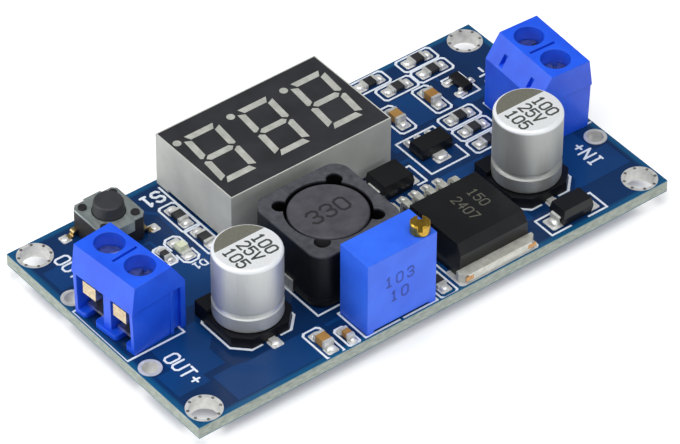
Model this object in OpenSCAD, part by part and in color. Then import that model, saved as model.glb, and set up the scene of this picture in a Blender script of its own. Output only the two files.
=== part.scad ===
// Step-down (buck) converter module with a three-digit voltmeter.
// A bare two-sided circuit board carries two screw terminal blocks, a five-lead
// switching regulator, a shielded power inductor, two surface-mount electrolytic
// capacitors, a multi-turn trimmer, a push switch, a seven-segment display and
// small chip parts.  The board's long side lies along X, the output end at -X and
// the input end at +X.  Z = 0 is the level of the soldered pin tips below the
// board, so the module stands on its pins.  All sizes are millimetres.

/* [Board] */
// Length of the circuit board along X
board_l = 66; // [65.5:0.1:80]
// Width of the circuit board along Y
board_w = 35.5; // [35.4:0.1:50]
// Thickness of the circuit board
board_t = 1.6; // [1.0:0.1:2.4]
// Distance that soldered pins stand out below the board
pin_drop = 1.5; // [1.0:0.1:3.0]
// Distance of the mounting holes from the board's end edges
hole_inset_x = 2.3; // [2.25:0.01:2.5]
// Distance of the mounting holes from the board's side edges
hole_inset_y = 2.15; // [2.12:0.01:2.4]
// Radius of the plated mounting holes
hole_r = 1.7; // [1.0:0.05:1.75]
// Width of the tinned ring around a mounting hole
hole_ring = 0.4; // [0.2:0.05:0.4]
// Radius of the plated holes for soldered wires
wire_hole_r = 0.95; // [0.4:0.05:1.2]
// Width of the tinned ring around a wire hole
wire_ring = 0.4; // [0.2:0.05:0.5]
// Distance between the two wire holes at one end
wire_pitch = 14.3; // [13.8:0.1:15]
// Distance of the wire holes from the board's end edges
wire_inset = 1.5; // [1.45:0.05:1.8]
// Thickness of the printed outline lines
silk_t = 0.03; // [0.02:0.01:0.06]
// Width of the printed outline lines
silk_w = 0.25; // [0.1:0.05:0.3]

/* [Terminal blocks] */
// Distance between the two poles of a block
pole_pitch = 5; // [5:0.02:5.4]
// Height of a block above the board
block_h = 9.75; // [9.6:0.05:12]
// Depth of a block from its back face to the screw axis
block_back = 4.2; // [3.8:0.1:6]
// Depth of a block's top face behind the screw axis
block_top_back = 2.3; // [2.1:0.05:2.9]
// Depth of a block's top face in front of the screw axis
block_top_front = 2.95; // [2.7:0.05:3]
// Height of the overhanging front band above the wire entries
visor_h = 3.65; // [3.4:0.05:3.7]
// Distance that the front band stands out past the top face
visor_out = 0.5; // [0.2:0.05:0.55]
// Distance of the wire entry walls behind the lower edge of the front band
entry_inset = 0.1; // [0.05:0.05:0.3]
// Lean of the wire entry walls towards their foot
entry_lean = 0.2; // [0:0.05:0.4]
// Distance of the rib between the two entries behind the entry walls
rib_inset = 0.6; // [0.2:0.05:0.7]
// Height at which the sloped back starts
back_slope_z = 6.8; // [5:0.05:8]
// Width of one wire entry
entry_w = 3.8; // [3.6:0.05:4.2]
// Thickness of a block's floor
block_floor = 0.75; // [0.6:0.05:1]
// Radius of a screw well
well_r = 1.75; // [1.6:0.05:2]
// Width of the joining groove in a block's end
groove_w = 1.0; // [0.5:0.05:1.3]
// Depth of the joining groove
groove_depth = 0.5; // [0.2:0.05:0.55]
// Distance of the output block's screw axes from the board's end edge
output_inset = 4.0; // [4:0.05:5]
// Distance of the input block's screw axes from the board's end edge
input_inset = 3.85; // [3.8:0.05:4]
// Turn of the output block on its pins, seen from above
output_turn = 5; // [-5:0.5:5]
// Turn of the input block on its pins, seen from above
input_turn = -3; // [-4:0.5:4]

/* [Clamps] */
// Thickness of the cage's sheet metal
cage_t = 0.4; // [0.3:0.05:0.45]
// Thickness of the threaded bar at the top of the cage
nut_t = 1.1; // [0.9:0.05:1.2]
// Distance from the cage's middle to its front edge
cage_front = 2.0; // [1.8:0.05:2.2]
// Radius of the clamp screw's shank
shank_r = 1.25; // [1.0:0.05:1.25]
// Radial clearance of the shank in the cage
thread_gap = 0.05; // [0.02:0.01:0.1]
// Radial clearance of the screw head in its well
head_gap = 0.06; // [0.02:0.01:0.1]
// Thickness of the screw head
head_t = 0.8; // [0.6:0.05:0.9]
// Width of the screw head's slot
head_slot = 0.5; // [0.3:0.05:0.7]
// Thickness of the wire guard plate
guard_t = 0.4; // [0.3:0.05:0.45]
// Width of the wire guard plate
guard_w = 2.1; // [1.8:0.1:2.5]
// Clear height between the cage's floor and the raised guard plate
guard_open = 2.6; // [1.8:0.05:2.7]
// Thickness of the guard's folded front lip
lip_t = 0.75; // [0.4:0.05:0.8]

/* [Electrolytic capacitors] */
// Radius of the aluminium can
can_r = 4.0; // [3.5:0.05:4.1]
// Height of the finished capacitor
can_h = 10.5; // [9:0.1:12]
// Width of the square moulded base
cap_base_w = 8.3; // [8.2:0.1:8.6]
// Thickness of the moulded base under the can
cap_base_t = 1.35; // [0.8:0.05:1.5]
// Cut of the base's two polarity corners
cap_base_cut = 1.7; // [1:0.1:2]
// Height of the two square corners' posts above the base plate
cap_post_h = 0.7; // [0.2:0.1:1.0]
// Width of each corner post
cap_post_w = 2.2; // [1.2:0.1:3]
// Depth of the crimped neck
neck_depth = 0.35; // [0.1:0.05:0.45]
// Height of the crimped neck above the base plate
neck_z = 2.35; // [1.6:0.05:2.6]
// Rounding of the can's top edge
can_round = 0.5; // [0.2:0.05:0.8]

/* [Inductor] */
// Width of the square shield
coil_w = 12.3; // [11.8:0.1:12.6]
// Height of the finished inductor
coil_h = 7.5; // [6:0.1:8.5]
// Rounding of the shield's corners
coil_corner = 2.0; // [1:0.1:3]
// Radius of the shield's bore
coil_bore_r = 5.0; // [4.9:0.05:5.3]
// Radius of the ferrite drum's discs
drum_r = 4.6; // [4.2:0.05:4.7]
// Thickness of the drum's top and bottom discs
drum_disc = 1.3; // [1:0.1:1.6]
// Radius of the drum's post
drum_post_r = 2.4; // [2:0.1:3]
// Thickness of the moulded base plate
coil_base_t = 0.8; // [0.5:0.1:1]
// Width of the solder terminals
coil_terminal_w = 3.2; // [2:0.1:4]

/* [Display] */
// Length of the display
display_l = 22.5; // [22.2:0.1:23]
// Width of the display
display_w = 14; // [13.8:0.1:14.4]
// Height of the display
display_h = 7.2; // [6:0.1:9]
// Height of the corner feet
display_foot = 0.3; // [0.2:0.05:0.6]
// Rim around the dark face
face_rim = 0.15; // [0.1:0.05:0.3]
// Thickness of the dark face
face_t = 0.35; // [0.2:0.05:0.6]
// Distance between digits
digit_pitch = 7.5; // [7.3:0.05:7.6]
// Half of a digit's width, to the middle of its upright bars
digit_half_w = 2.03; // [1.9:0.01:2.15]
// Distance from a digit's middle bar to its top bar
digit_half_h = 4.18; // [3.9:0.01:4.4]
// Width of a lit bar
segment_w = 0.86; // [0.6:0.02:1.0]
// Gap between neighbouring bars
segment_gap = 0.16; // [0.08:0.02:0.3]
// Slant of the digits in degrees
digit_slant = 5.3; // [0:0.1:8]
// Radius of the decimal dots
dot_r = 0.5; // [0.3:0.05:0.6]

/* [Trimmer] */
// Length of the trimmer
trimmer_l = 9.53; // [9.3:0.01:9.8]
// Width of the trimmer
trimmer_w = 4.83; // [4.6:0.01:5]
// Height of the trimmer above the board
trimmer_h = 10.03; // [9:0.01:11]
// Radius of the adjusting screw's head
adjuster_r = 1.15; // [0.9:0.05:1.25]
// Height of the adjusting screw above the housing
adjuster_h = 1.4; // [0.8:0.05:1.6]
// Distance of the adjusting screw from the housing's end
adjuster_inset = 1.35; // [1.3:0.05:1.6]
// Distance of the adjusting screw from the housing's front
adjuster_side = 1.25; // [1.2:0.05:1.6]

/* [Push switch] */
// Width of the switch body
switch_w = 6.0; // [5.8:0.1:6.2]
// Height of the switch body
switch_h = 3.5; // [3.2:0.1:4]
// Height of the button's top above the board
button_h = 5.0; // [4.6:0.1:9]
// Radius of the button at its top
button_r = 1.72; // [1.4:0.02:1.76]
// Radial clearance of the button in the cover
button_gap = 0.08; // [0.02:0.01:0.1]
// Travel of the button
button_travel = 0.25; // [0.2:0.01:0.3]

/* [Switching regulator] */
// Width of the moulded body
ic_w = 9.8; // [9.6:0.1:10.2]
// Length of the moulded body from the tab to the leads
ic_l = 9.3; // [8.6:0.1:9.4]
// Height of the moulded body
ic_h = 4.4; // [4:0.1:4.8]
// Width of the metal tab
tab_w = 10.7; // [10.3:0.1:10.8]
// Distance that the tab stands out of the body
tab_out = 1.3; // [0.9:0.05:1.35]
// Thickness of the tab
tab_t = 1.3; // [1.0:0.05:1.5]
// Distance between leads
ic_pitch = 1.7; // [1.5:0.01:1.9]
// Width of a lead
ic_lead_w = 0.8; // [0.5:0.05:1.0]
// Thickness of a lead
ic_lead_t = 0.5; // [0.3:0.05:0.6]

/* [Diodes] */
// Length of the output diode's body
schottky_l = 4.3; // [4:0.1:4.6]
// Width of the output diode's body
schottky_w = 3.6; // [3.3:0.1:3.9]
// Height of the output diode's body
schottky_h = 2.2; // [1.9:0.1:2.5]
// Length of the input diode's body
input_diode_l = 4.3; // [4:0.1:4.6]
// Width of the input diode's body
input_diode_w = 2.6; // [2.3:0.1:2.9]
// Height of the input diode's body
input_diode_h = 2.2; // [1.9:0.1:2.5]

/* [Small packages] */
// Width of the small linear regulator's body
sot89_w = 4.5; // [4.2:0.1:4.8]
// Depth of the small linear regulator's body
sot89_d = 2.5; // [2.2:0.1:2.8]
// Height of the small linear regulator's body
sot89_h = 1.5; // [1.3:0.05:1.7]
// Length of the transistor's body
sot23_l = 2.9; // [2.7:0.05:3.1]
// Width of the transistor's body
sot23_w = 1.3; // [1.2:0.05:1.5]
// Height of the transistor's body
sot23_h = 1.0; // [0.9:0.05:1.2]
// Length of the voltmeter's driver chip under the display
driver_l = 6.5; // [6.3:0.1:6.7]
// Width of the driver chip
driver_w = 4.4; // [4.2:0.1:4.6]
// Height of the driver chip
driver_h = 1.1; // [0.9:0.05:1.2]

/* [Chip parts] */
// Length of a large chip part
chip_l = 2.0; // [1.8:0.05:2.2]
// Width of a large chip part
chip_w = 1.25; // [1.1:0.05:1.4]
// Thickness of a chip resistor
resistor_t = 0.5; // [0.4:0.05:0.7]
// Thickness of a chip capacitor
ceramic_t = 1.0; // [0.7:0.05:1.3]
// Length of a metal end on a chip part
chip_end = 0.38; // [0.25:0.01:0.45]
// Size of a small chip part beside a large one
small_chip = 0.8; // [0.75:0.01:0.85]
// Height of the indicator lamp
lamp_h = 0.85; // [0.6:0.05:1.1]

/* [Hidden] */
$fn = 48;

// Levels of the board's two faces
board_bottom = pin_drop;
top = pin_drop + board_t;
// Thickness of copper and tin on the board
plating_t = 0.05;
// Overlap given to cutting shapes
cut = 0.5;
// Small clearance where one piece is pushed into another
fit_gap = 0.02;
// Gap between the board and the underside of a moulded body
body_lift = 0.1;

// Distance of the mounting holes from the board's centre lines
mount_x = board_l / 2 - hole_inset_x;
mount_y = board_w / 2 - hole_inset_y;
// Back faces of the two terminal blocks
output_block_back = -board_l / 2 + output_inset + block_back;
input_block_back = board_l / 2 - input_inset - block_back;
// Lengths over the leads of the switch and the two diodes
switch_span = switch_w + 2.4;
schottky_span = schottky_l + 3.9;
input_diode_span = input_diode_l + 3.7;

// Middle of a piece of width w that leaves this share of the free room between
// its neighbours on its low side
function between(low, high, w, share) = low + (high - low - w) * share + w / 2;

// Places on the board, from its centre.  What stands by the input block keeps
// its distance from the block, and the rest shares the room between neighbours.
inductor_at = [-5.6, -5.05];
display_at = [-1.4, 10.3];
trimmer_at = [-5.1, -15.0];
schottky_at = [7.5, 0.5];
lamp_at = [-17.25, 6.45];
left_of_display = display_at[0] - display_l / 2 - 1.6;
input_capacitor_at = [input_block_back - cap_base_w / 2 - 0.45, -8.0];
input_diode_at = [input_block_back - 4.25, -15.5];
transistor_at = [input_block_back + 0.25, 9.6];
resistor_column = input_block_back - 3.45;
output_capacitor_at = [
    between(output_block_back, inductor_at[0] - coil_w / 2, cap_base_w, 0.474), -7.2
];
regulator_at = [
    between(inductor_at[0] + coil_w / 2, input_capacitor_at[0] - cap_base_w / 2, tab_w, 0.606), -11.55
];
linear_regulator_at = [
    between(schottky_at[0] + schottky_span / 2, resistor_column - chip_l / 2, sot89_w, 0.352), 2.9
];
switch_at = [
    between(hole_r + hole_ring - mount_x, left_of_display - chip_w / 2, switch_span, 0.451), 13.5
];
// Chip parts: place, turn about Z and whether it is the small size
chip_resistors = [
    [left_of_display, 11.0, 90, false], [left_of_display + 0.1, 6.3, 90, false],
    [1.6, -15.2, 90, false], [-19.35, 6.7, 90, true],
    [input_block_back - 0.85, 16.3, 0, false], [input_block_back - 0.65, 13.75, 0, false],
    [input_block_back - 5.85, 13.7, 0, false], [input_block_back - 7.9, 16.3, 0, false],
    [resistor_column, 5.3, 0, false], [resistor_column, 2.7, 0, false],
    [resistor_column, 0.1, 0, false]
];
ceramic_capacitors = [
    [-14.3, -15.35, 90, false], [-11.6, -16.05, 90, true],
    [input_block_back - 9.45, 9.35, 90, false], [input_block_back - 3.95, 9.7, 90, false]
];

// ---------------------------------------------------------------- helpers

// Square plate with rounded corners
module round_rect(w, d, r) {
    square([w - 2 * r, d], center = true);
    square([w, d - 2 * r], center = true);
    for (x = [-1, 1], y = [-1, 1])
        translate([x * (w / 2 - r), y * (d / 2 - r)]) circle(r);
}

// Rectangle with its four corners cut off at 45 degrees
module cut_rect(w, d, c) {
    polygon([
        [-w / 2 + c, -d / 2], [w / 2 - c, -d / 2], [w / 2, -d / 2 + c], [w / 2, d / 2 - c],
        [w / 2 - c, d / 2], [-w / 2 + c, d / 2], [-w / 2, d / 2 - c], [-w / 2, -d / 2 + c]
    ]);
}

// Outline with a given line width around a rectangle
module frame_line(w, d, c = 0.01) {
    difference() {
        cut_rect(w + silk_w, d + silk_w, c + silk_w / 4);
        cut_rect(w - silk_w, d - silk_w, c);
    }
}

// Prism of a profile drawn in the XZ plane, centred across Y
module side_prism(w) {
    rotate([90, 0, 0])
        linear_extrude(w, center = true) children();
}

// Moulded package: sides lean in above and below the parting line
module moulded(l, w, h, draft, part_z) {
    intersection() {
        side_prism(w)
            polygon([[-l / 2 + draft, 0], [l / 2 - draft, 0], [l / 2, part_z],
                [l / 2 - draft, h], [-l / 2 + draft, h], [-l / 2, part_z]]);
        rotate([0, 0, 90])
            side_prism(l)
                polygon([[-w / 2 + draft, 0], [w / 2 - draft, 0], [w / 2, part_z],
                    [w / 2 - draft, h], [-w / 2 + draft, h], [-w / 2, part_z]]);
    }
}

// Quarter of a flat ring, for the bends of leads
module quarter_ring(r, t) {
    intersection() {
        difference() {
            circle(r + t);
            circle(r);
        }
        square(r + t + cut);
    }
}

// Profile of a gull-wing lead: shoulder, bend, leg, bend and foot
module gull_profile(rise, shoulder, foot, t, r) {
    translate([0, rise - t]) square([shoulder, t]);
    translate([shoulder, rise - t - r]) quarter_ring(r, t);
    translate([shoulder + r, t + r]) square([t, rise - 2 * (t + r)]);
    translate([shoulder + 2 * r + t, t + r]) rotate(180) quarter_ring(r, t);
    translate([shoulder + 2 * r + t, 0]) square([foot, t]);
}

// Gull-wing lead of width w that leaves the origin along +X
module gull_lead(rise, shoulder, foot, t, w, r) {
    side_prism(w) gull_profile(rise, shoulder, foot, t, r);
}

// Lead of a block diode: out of the end face, down, and folded under the body
module folded_lead(half_l, rise, t, w, tongue, r) {
    side_prism(w) {
        translate([half_l - r, rise - t]) square([r, t]);
        translate([half_l, rise - t - r]) quarter_ring(r, t);
        translate([half_l + r, t + r]) square([t, rise - 2 * (t + r)]);
        translate([half_l, t + r]) rotate(-90) quarter_ring(r, t);
        translate([half_l - tongue, 0]) square([tongue, t]);
    }
}

// ------------------------------------------------------------------ board

wire_x = board_l / 2 - wire_inset;
pad_gap = 0.05;

// Terminal block pins, display pins and trimmer pins
block_pin_w = 1.0;
block_pin_t = 0.8;
block_hole_r = norm([block_pin_w, block_pin_t]) / 2 + pad_gap;
display_pin_r = 0.25;
display_pin_pitch = 2.54;
display_row_gap = 10.16;
trimmer_pin_r = 0.25;
trimmer_pin_pitch = 2.54;

// The blocks and the wire holes sit slightly off the board's centre line
output_y = 0.7;
input_y = 0.12;
block_outline_y = 0.45;
wire_y = 0.2;

// Places the children at one end of the board in the block's own frame:
// +X is the way the wires enter from, Y runs across the poles
module at_output() {
    translate([-board_l / 2 + output_inset, output_y, 0])
        rotate([0, 0, 180 + output_turn]) children();
}

module at_input() {
    translate([board_l / 2 - input_inset, input_y, 0]) rotate([0, 0, input_turn]) children();
}

module at_block_pins() {
    for (side = [-1, 1]) {
        at_output() translate([0, side * pole_pitch / 2, 0]) children();
        at_input() translate([0, side * pole_pitch / 2, 0]) children();
    }
}

module at_display_pins() {
    for (i = [0:5])
        translate([display_at[0] + (i - 2.5) * display_pin_pitch, display_at[1] - display_row_gap / 2, 0])
            children();
    for (i = [0:4])
        translate([display_at[0] + (i - 2.5) * display_pin_pitch, display_at[1] + display_row_gap / 2, 0])
            children();
}

module at_trimmer_pins() {
    for (i = [-1:1])
        translate([trimmer_at[0] + i * trimmer_pin_pitch, trimmer_at[1], 0]) children();
}

module at_mounting_holes() {
    for (x = [-1, 1], y = [-1, 1])
        translate([x * mount_x, y * mount_y, 0]) children();
}

module at_wire_holes() {
    for (x = [-1, 1], y = [-1, 1])
        translate([x * wire_x, wire_y + y * wire_pitch / 2, 0]) children();
}

module circuit_board() {
    color("#0f3a6c")
        translate([0, 0, board_bottom])
            linear_extrude(board_t)
                difference() {
                    square([board_l, board_w], center = true);
                    at_mounting_holes() circle(hole_r + plating_t);
                    at_wire_holes() circle(wire_hole_r + plating_t);
                    at_block_pins() circle(block_hole_r);
                    at_display_pins() circle(display_pin_r + pad_gap);
                    at_trimmer_pins() circle(trimmer_pin_r + pad_gap);
                }
}

// Plated barrel with a ring on both faces of the board
module plated_hole(r, ring) {
    difference() {
        union() {
            cylinder(h = plating_t, r = r + ring);
            cylinder(h = board_t + 2 * plating_t, r = r + plating_t);
            translate([0, 0, board_t + plating_t]) cylinder(h = plating_t, r = r + ring);
        }
        translate([0, 0, -cut]) cylinder(h = board_t + 2 * cut, r = r);
    }
}

module hole_plating() {
    color("#d5d8d4")
        translate([0, 0, board_bottom - plating_t]) {
            at_mounting_holes() plated_hole(hole_r, hole_ring);
            at_wire_holes() plated_hole(wire_hole_r, wire_ring);
        }
}

// Cone of solder around a pin below the board
module solder_cone(r, pin_r, h) {
    difference() {
        rotate([180, 0, 0]) cylinder(h = h, r1 = r, r2 = pin_r + 0.12);
        translate([0, 0, -h - cut]) cylinder(h = h + 2 * cut, r = pin_r + fit_gap);
    }
}

module solder_joints() {
    cone_h = 0.8;
    color("#c9ccd0")
        translate([0, 0, board_bottom]) {
            at_block_pins() solder_cone(1.5, block_hole_r - pad_gap, cone_h);
            at_display_pins() solder_cone(0.85, display_pin_r, cone_h);
            at_trimmer_pins() solder_cone(0.85, trimmer_pin_r, cone_h);
        }
}

// --------------------------------------------------------- printed outlines

// Outline round a chip part, with its corners slightly cut
module chip_outline(small) {
    frame_line(small ? 3.2 : 5.0, small ? 1.5 : 2.3, 0.3);
}

// Outline in two brackets, open at the middle of its long sides
module bracket_outline(l, w, gap, c = 0.01) {
    difference() {
        frame_line(l, w, c);
        square([gap, w + 1], center = true);
    }
}

module silk_shapes() {
    for (c = chip_resistors)
        translate([c[0], c[1]]) rotate(c[2]) chip_outline(c[3]);
    for (c = ceramic_capacitors)
        translate([c[0], c[1]]) rotate(c[2]) chip_outline(c[3]);
    translate(lamp_at) rotate(90) bracket_outline(4.7, 2.1, 0.8, 0.5);
    // The display's outline is open at the board's edge
    translate(display_at) intersection() {
        frame_line(display_l + 0.7, display_w + 0.7);
        translate([0, -1]) square([display_l + 2, display_w + 0.4], center = true);
    }
    translate(trimmer_at) bracket_outline(trimmer_l + 0.5, trimmer_w + 0.1, 0.4);
    translate(inductor_at) bracket_outline(coil_w + 0.6, coil_w + 0.6, 5.5);
    translate(switch_at) intersection() {
        frame_line(switch_w - 0.4, switch_w - 0.4);
        square([4.2, switch_w + 1], center = true);
    }
    for (at = [output_capacitor_at, input_capacitor_at])
        translate(at) bracket_outline(cap_base_w + 0.5, cap_base_w + 0.2, 2.4, cap_base_cut);
    translate(regulator_at) bracket_outline(tab_w + 0.3, ic_l + 2.0, tab_w - 1);
    translate(schottky_at) bracket_outline(schottky_span, schottky_w - 0.4, 5.4);
    translate(input_diode_at) bracket_outline(input_diode_span, input_diode_w + 0.4, 2.4);
    translate(linear_regulator_at - [0, 0.25]) difference() {
        frame_line(sot89_w + 0.9, 6.5);
        translate([sot89_w / 2, -0.8]) square([1.5, 2.3]);
    }
    translate(transistor_at) rotate(90) bracket_outline(sot23_l + 1.0, 2.6, 1.2);
    for (x = [output_inset - board_l / 2, board_l / 2 - input_inset])
        translate([x, block_outline_y])
            frame_line(block_back + block_top_front + 0.6, 2 * pole_pitch + 0.1);
}

module silkscreen() {
    color("#e6ebf2")
        translate([0, 0, top])
            linear_extrude(silk_t)
                difference() {
                    intersection() {
                        silk_shapes();
                        square([board_l - silk_w, board_w - silk_w], center = true);
                    }
                    at_display_pins() circle(0.8);
                    at_trimmer_pins() circle(0.8);
                    at_block_pins() circle(1.2);
                    at_wire_holes() circle(wire_hole_r + wire_ring + 0.05);
                    at_mounting_holes() circle(hole_r + hole_ring + 0.05);
                }
}

// ---------------------------------------------------------- terminal blocks

block_w = 2 * pole_pitch;
// The block stands on its printed outline
foot_z = silk_t + 0.01;
visor_z = block_h - visor_h;
front_x = block_top_front + visor_out;
// The end faces below the front band are set back a little
end_step = 0.12;
cage_w = entry_w - 0.3;
cage_top = visor_z - 0.55;
cage_floor = block_floor;
ceiling_z = cage_top + fit_gap;
cage_back = 2.0;
cavity_back = cage_back + 0.1;
guard_z = cage_floor + cage_t + guard_open;
bar_z = cage_top - nut_t;
// The screw stands raised; it can drop this far until its head meets the cage
head_drop = 1.45;
head_z = cage_top + 0.1 + head_drop;
head_r = well_r - head_gap;

module block_section() {
    polygon([
        [-block_back, foot_z], [front_x - entry_inset - entry_lean, foot_z],
        [front_x - entry_inset, visor_z], [front_x, visor_z],
        [block_top_front, block_h], [-block_top_back, block_h], [-block_back, back_slope_z]
    ]);
}

// Groove outline in plan, wider at its root like a dovetail
module dovetail(w, d) {
    polygon([[-w / 2, 0], [w / 2, 0], [w / 2 + d / 3, d], [-w / 2 - d / 3, d]]);
}

module block_housing() {
    groove_x = -block_back + 1.2;
    slot_l = 3.5;
    slot_w = 0.34;
    slot_depth = 0.8;
    color("#1f4fe0")
        difference() {
            union() {
                side_prism(block_w) block_section();
                // Joining tongue on one end face
                translate([groove_x, -block_w / 2 + fit_gap, 0.4])
                    linear_extrude(visor_z - 0.8)
                        rotate(180) dovetail(groove_w - 0.15, groove_depth - 0.1);
            }
            // End faces set back below the front band
            for (side = [-1, 1])
                translate([groove_x + groove_w, side > 0 ? block_w / 2 - end_step : -block_w / 2 - cut, -cut])
                    cube([2 * block_back, end_step + cut, visor_z + cut]);
            // Joining groove in the other end face
            translate([groove_x, block_w / 2 + fit_gap, -cut])
                linear_extrude(visor_z + cut)
                    rotate(180) dovetail(groove_w, groove_depth + fit_gap);
            // Thin parting line between the poles on the top face
            translate([-slot_l / 2, -slot_w / 2, block_h - slot_depth])
                cube([slot_l, slot_w, slot_depth + cut]);
            // The rib between the entries stands behind the entry walls
            translate([front_x - entry_inset - rib_inset, -pole_pitch / 2, cage_floor])
                cube([block_back, pole_pitch, visor_z - cage_floor]);
            for (side = [-1, 1])
                translate([0, side * pole_pitch / 2, 0]) pole_cuts();
        }
}

// Plan of the slot in the floor that the cage's pin drops through; it is open
// to the front, where its corners are rounded
module pin_notch() {
    notch_w = 1.4;
    foot_r = 0.5;
    foot_x = front_x - entry_inset - entry_lean;
    translate([-block_pin_t, -notch_w / 2]) square([2 * block_back, notch_w]);
    for (side = [-1, 1])
        scale([1, side])
            difference() {
                translate([foot_x - foot_r, 0]) square([2 * foot_r, notch_w / 2 + foot_r]);
                translate([foot_x - foot_r, notch_w / 2 + foot_r]) circle(foot_r);
            }
}

// What is cut out of the housing for one pole
module pole_cuts() {
    // Screw well
    translate([0, 0, ceiling_z - cut]) cylinder(h = block_h, r = well_r);
    // Room for the cage, and the wire entry in front of it
    translate([-cavity_back, -entry_w / 2, cage_floor])
        cube([block_back + block_back, entry_w, ceiling_z - cage_floor]);
    translate([cage_front + 0.1, -entry_w / 2, cage_floor])
        cube([block_back, entry_w, visor_z - cage_floor]);
    translate([0, 0, -cut]) linear_extrude(cage_floor + 2 * cut) pin_notch();
    // Window in the sloped back
    translate([-block_back - cut, -0.3, back_slope_z + 0.3]) cube([1.6, 0.6, 1.3]);
}

// Sheet-metal cage: floor, two sides, a thick threaded bar and a solder pin
module cage() {
    side_front = cage_front - 0.8;
    difference() {
        union() {
            translate([-cage_back, -cage_w / 2, cage_floor])
                cube([cage_back + cage_front, cage_w, cage_t]);
            for (side = [-1, 1])
                translate([-cage_back, side * (cage_w - cage_t) / 2 - cage_t / 2, cage_floor])
                    cube([cage_back + side_front, cage_t, bar_z + nut_t / 2 - cage_floor]);
            translate([-cage_back, -cage_w / 2, bar_z])
                cube([cage_back + cage_front, cage_w, nut_t]);
            translate([-block_pin_t / 2, -block_pin_w / 2, -top])
                cube([block_pin_t, block_pin_w, top + cage_floor + cage_t / 2]);
        }
        translate([0, 0, bar_z - cut])
            cylinder(h = nut_t + 2 * cut, r = shank_r + thread_gap);
    }
}

module block_cages() {
    color("#d8d9d6")
        for (side = [-1, 1])
            translate([0, side * pole_pitch / 2, 0]) cage();
}

// Plate that the screw pushes on the wire, with a doubled front lip
module wire_guard() {
    guard_back = 1.6;
    lip_front = front_x - 0.35;
    lip_h = 1.7;
    color("#cdb877") {
        translate([-guard_back, -guard_w / 2, guard_z])
            cube([guard_back + lip_front, guard_w, guard_t]);
        translate([lip_front - lip_t, -guard_w / 2, guard_z])
            cube([lip_t, guard_w, lip_h]);
    }
}

module clamp_screw() {
    slot_depth = 0.5;
    tip_gap = 0.02;
    tip_round = 0.3;
    color("#d9dcdc")
        difference() {
            union() {
                translate([0, 0, head_z]) cylinder(h = head_t, r = head_r);
                translate([0, 0, guard_z + guard_t + tip_gap + tip_round])
                    cylinder(h = head_z - guard_z - guard_t - tip_gap - tip_round, r = shank_r);
                translate([0, 0, guard_z + guard_t + tip_gap])
                    cylinder(h = tip_round, r1 = shank_r - tip_round, r2 = shank_r);
            }
            translate([0, 0, head_z + head_t - slot_depth / 2 + cut / 2])
                cube([2 * head_r + 1, head_slot, slot_depth + cut], center = true);
        }
}

module on_board() {
    translate([0, 0, top]) children();
}

module output_block_housing() {
    on_board() at_output() block_housing();
}

module output_block_cages() {
    on_board() at_output() block_cages();
}

module output_plus_guard() {
    on_board() at_output() translate([0, pole_pitch / 2, 0]) wire_guard();
}

module output_plus_screw() {
    on_board() at_output() translate([0, pole_pitch / 2, 0]) rotate([0, 0, 30]) clamp_screw();
}

module output_minus_guard() {
    on_board() at_output() translate([0, -pole_pitch / 2, 0]) wire_guard();
}

module output_minus_screw() {
    on_board() at_output() translate([0, -pole_pitch / 2, 0]) rotate([0, 0, -20]) clamp_screw();
}

module input_block_housing() {
    on_board() at_input() block_housing();
}

module input_block_cages() {
    on_board() at_input() block_cages();
}

module input_plus_guard() {
    on_board() at_input() translate([0, -pole_pitch / 2, 0]) wire_guard();
}

module input_plus_screw() {
    on_board() at_input() translate([0, -pole_pitch / 2, 0]) rotate([0, 0, 55]) clamp_screw();
}

module input_minus_guard() {
    on_board() at_input() translate([0, pole_pitch / 2, 0]) wire_guard();
}

module input_minus_screw() {
    on_board() at_input() translate([0, pole_pitch / 2, 0]) rotate([0, 0, 10]) clamp_screw();
}

// --------------------------------------------------- electrolytic capacitors

cap_lift = 0.05;
can_bottom = cap_lift + cap_base_t;
cap_lead_w = 0.9;
cap_lead_t = 0.3;
cap_lead_in = can_r * 0.35;
cap_lead_out = cap_base_w / 2 + 0.75;

module cap_base_plan() {
    h = cap_base_w / 2;
    polygon([[-h + cap_base_cut, -h], [h - cap_base_cut, -h], [h, -h + cap_base_cut], [h, h],
        [-h, h], [-h, -h + cap_base_cut]]);
}

module capacitor_leads() {
    color("#cfd2d2")
        for (side = [-1, 1])
            translate([-cap_lead_w / 2, side > 0 ? cap_lead_in : -cap_lead_out, 0])
                cube([cap_lead_w, cap_lead_out - cap_lead_in, cap_lead_t]);
}

module capacitor_base() {
    color("#17181c")
        difference() {
            translate([0, 0, cap_lift])
                union() {
                    linear_extrude(cap_base_t) cap_base_plan();
                    // Posts on the two square corners, hollowed round the can
                    for (x = [-cap_base_w / 2, cap_base_w / 2 - cap_post_w])
                        translate([x, cap_base_w / 2 - cap_post_w, 0])
                            cube([cap_post_w, cap_post_w, cap_base_t + cap_post_h]);
                }
            translate([0, 0, can_bottom]) cylinder(h = cap_post_h + cut, r = can_r + fit_gap);
            // Channels for the two leads
            for (side = [-1, 1])
                translate([-cap_lead_w / 2 - fit_gap, side > 0 ? cap_lead_in : -cap_base_w, 0])
                    cube([cap_lead_w + 2 * fit_gap, cap_base_w - cap_lead_in, cap_lead_t + fit_gap]);
        }
}

// Drawn can: crimped neck near the base, rounded top edge
module capacitor_can() {
    groove_r = 0.5;
    bottom_round = 0.3;
    body_h = can_h - can_bottom;
    color("#c9ccce")
        translate([0, 0, can_bottom])
            rotate_extrude($fn = 96)
                difference() {
                    union() {
                        translate([0, bottom_round]) square([can_r, body_h - bottom_round - can_round]);
                        square([can_r - bottom_round, body_h]);
                        translate([can_r - bottom_round, bottom_round]) circle(bottom_round);
                        square([can_r - can_round, body_h]);
                        translate([can_r - can_round, body_h - can_round]) circle(can_round);
                    }
                    translate([can_r + groove_r - neck_depth, neck_z]) circle(groove_r);
                    translate([-2 * can_r, -cut]) square([2 * can_r, can_h + 2 * cut]);
                }
}

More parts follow.
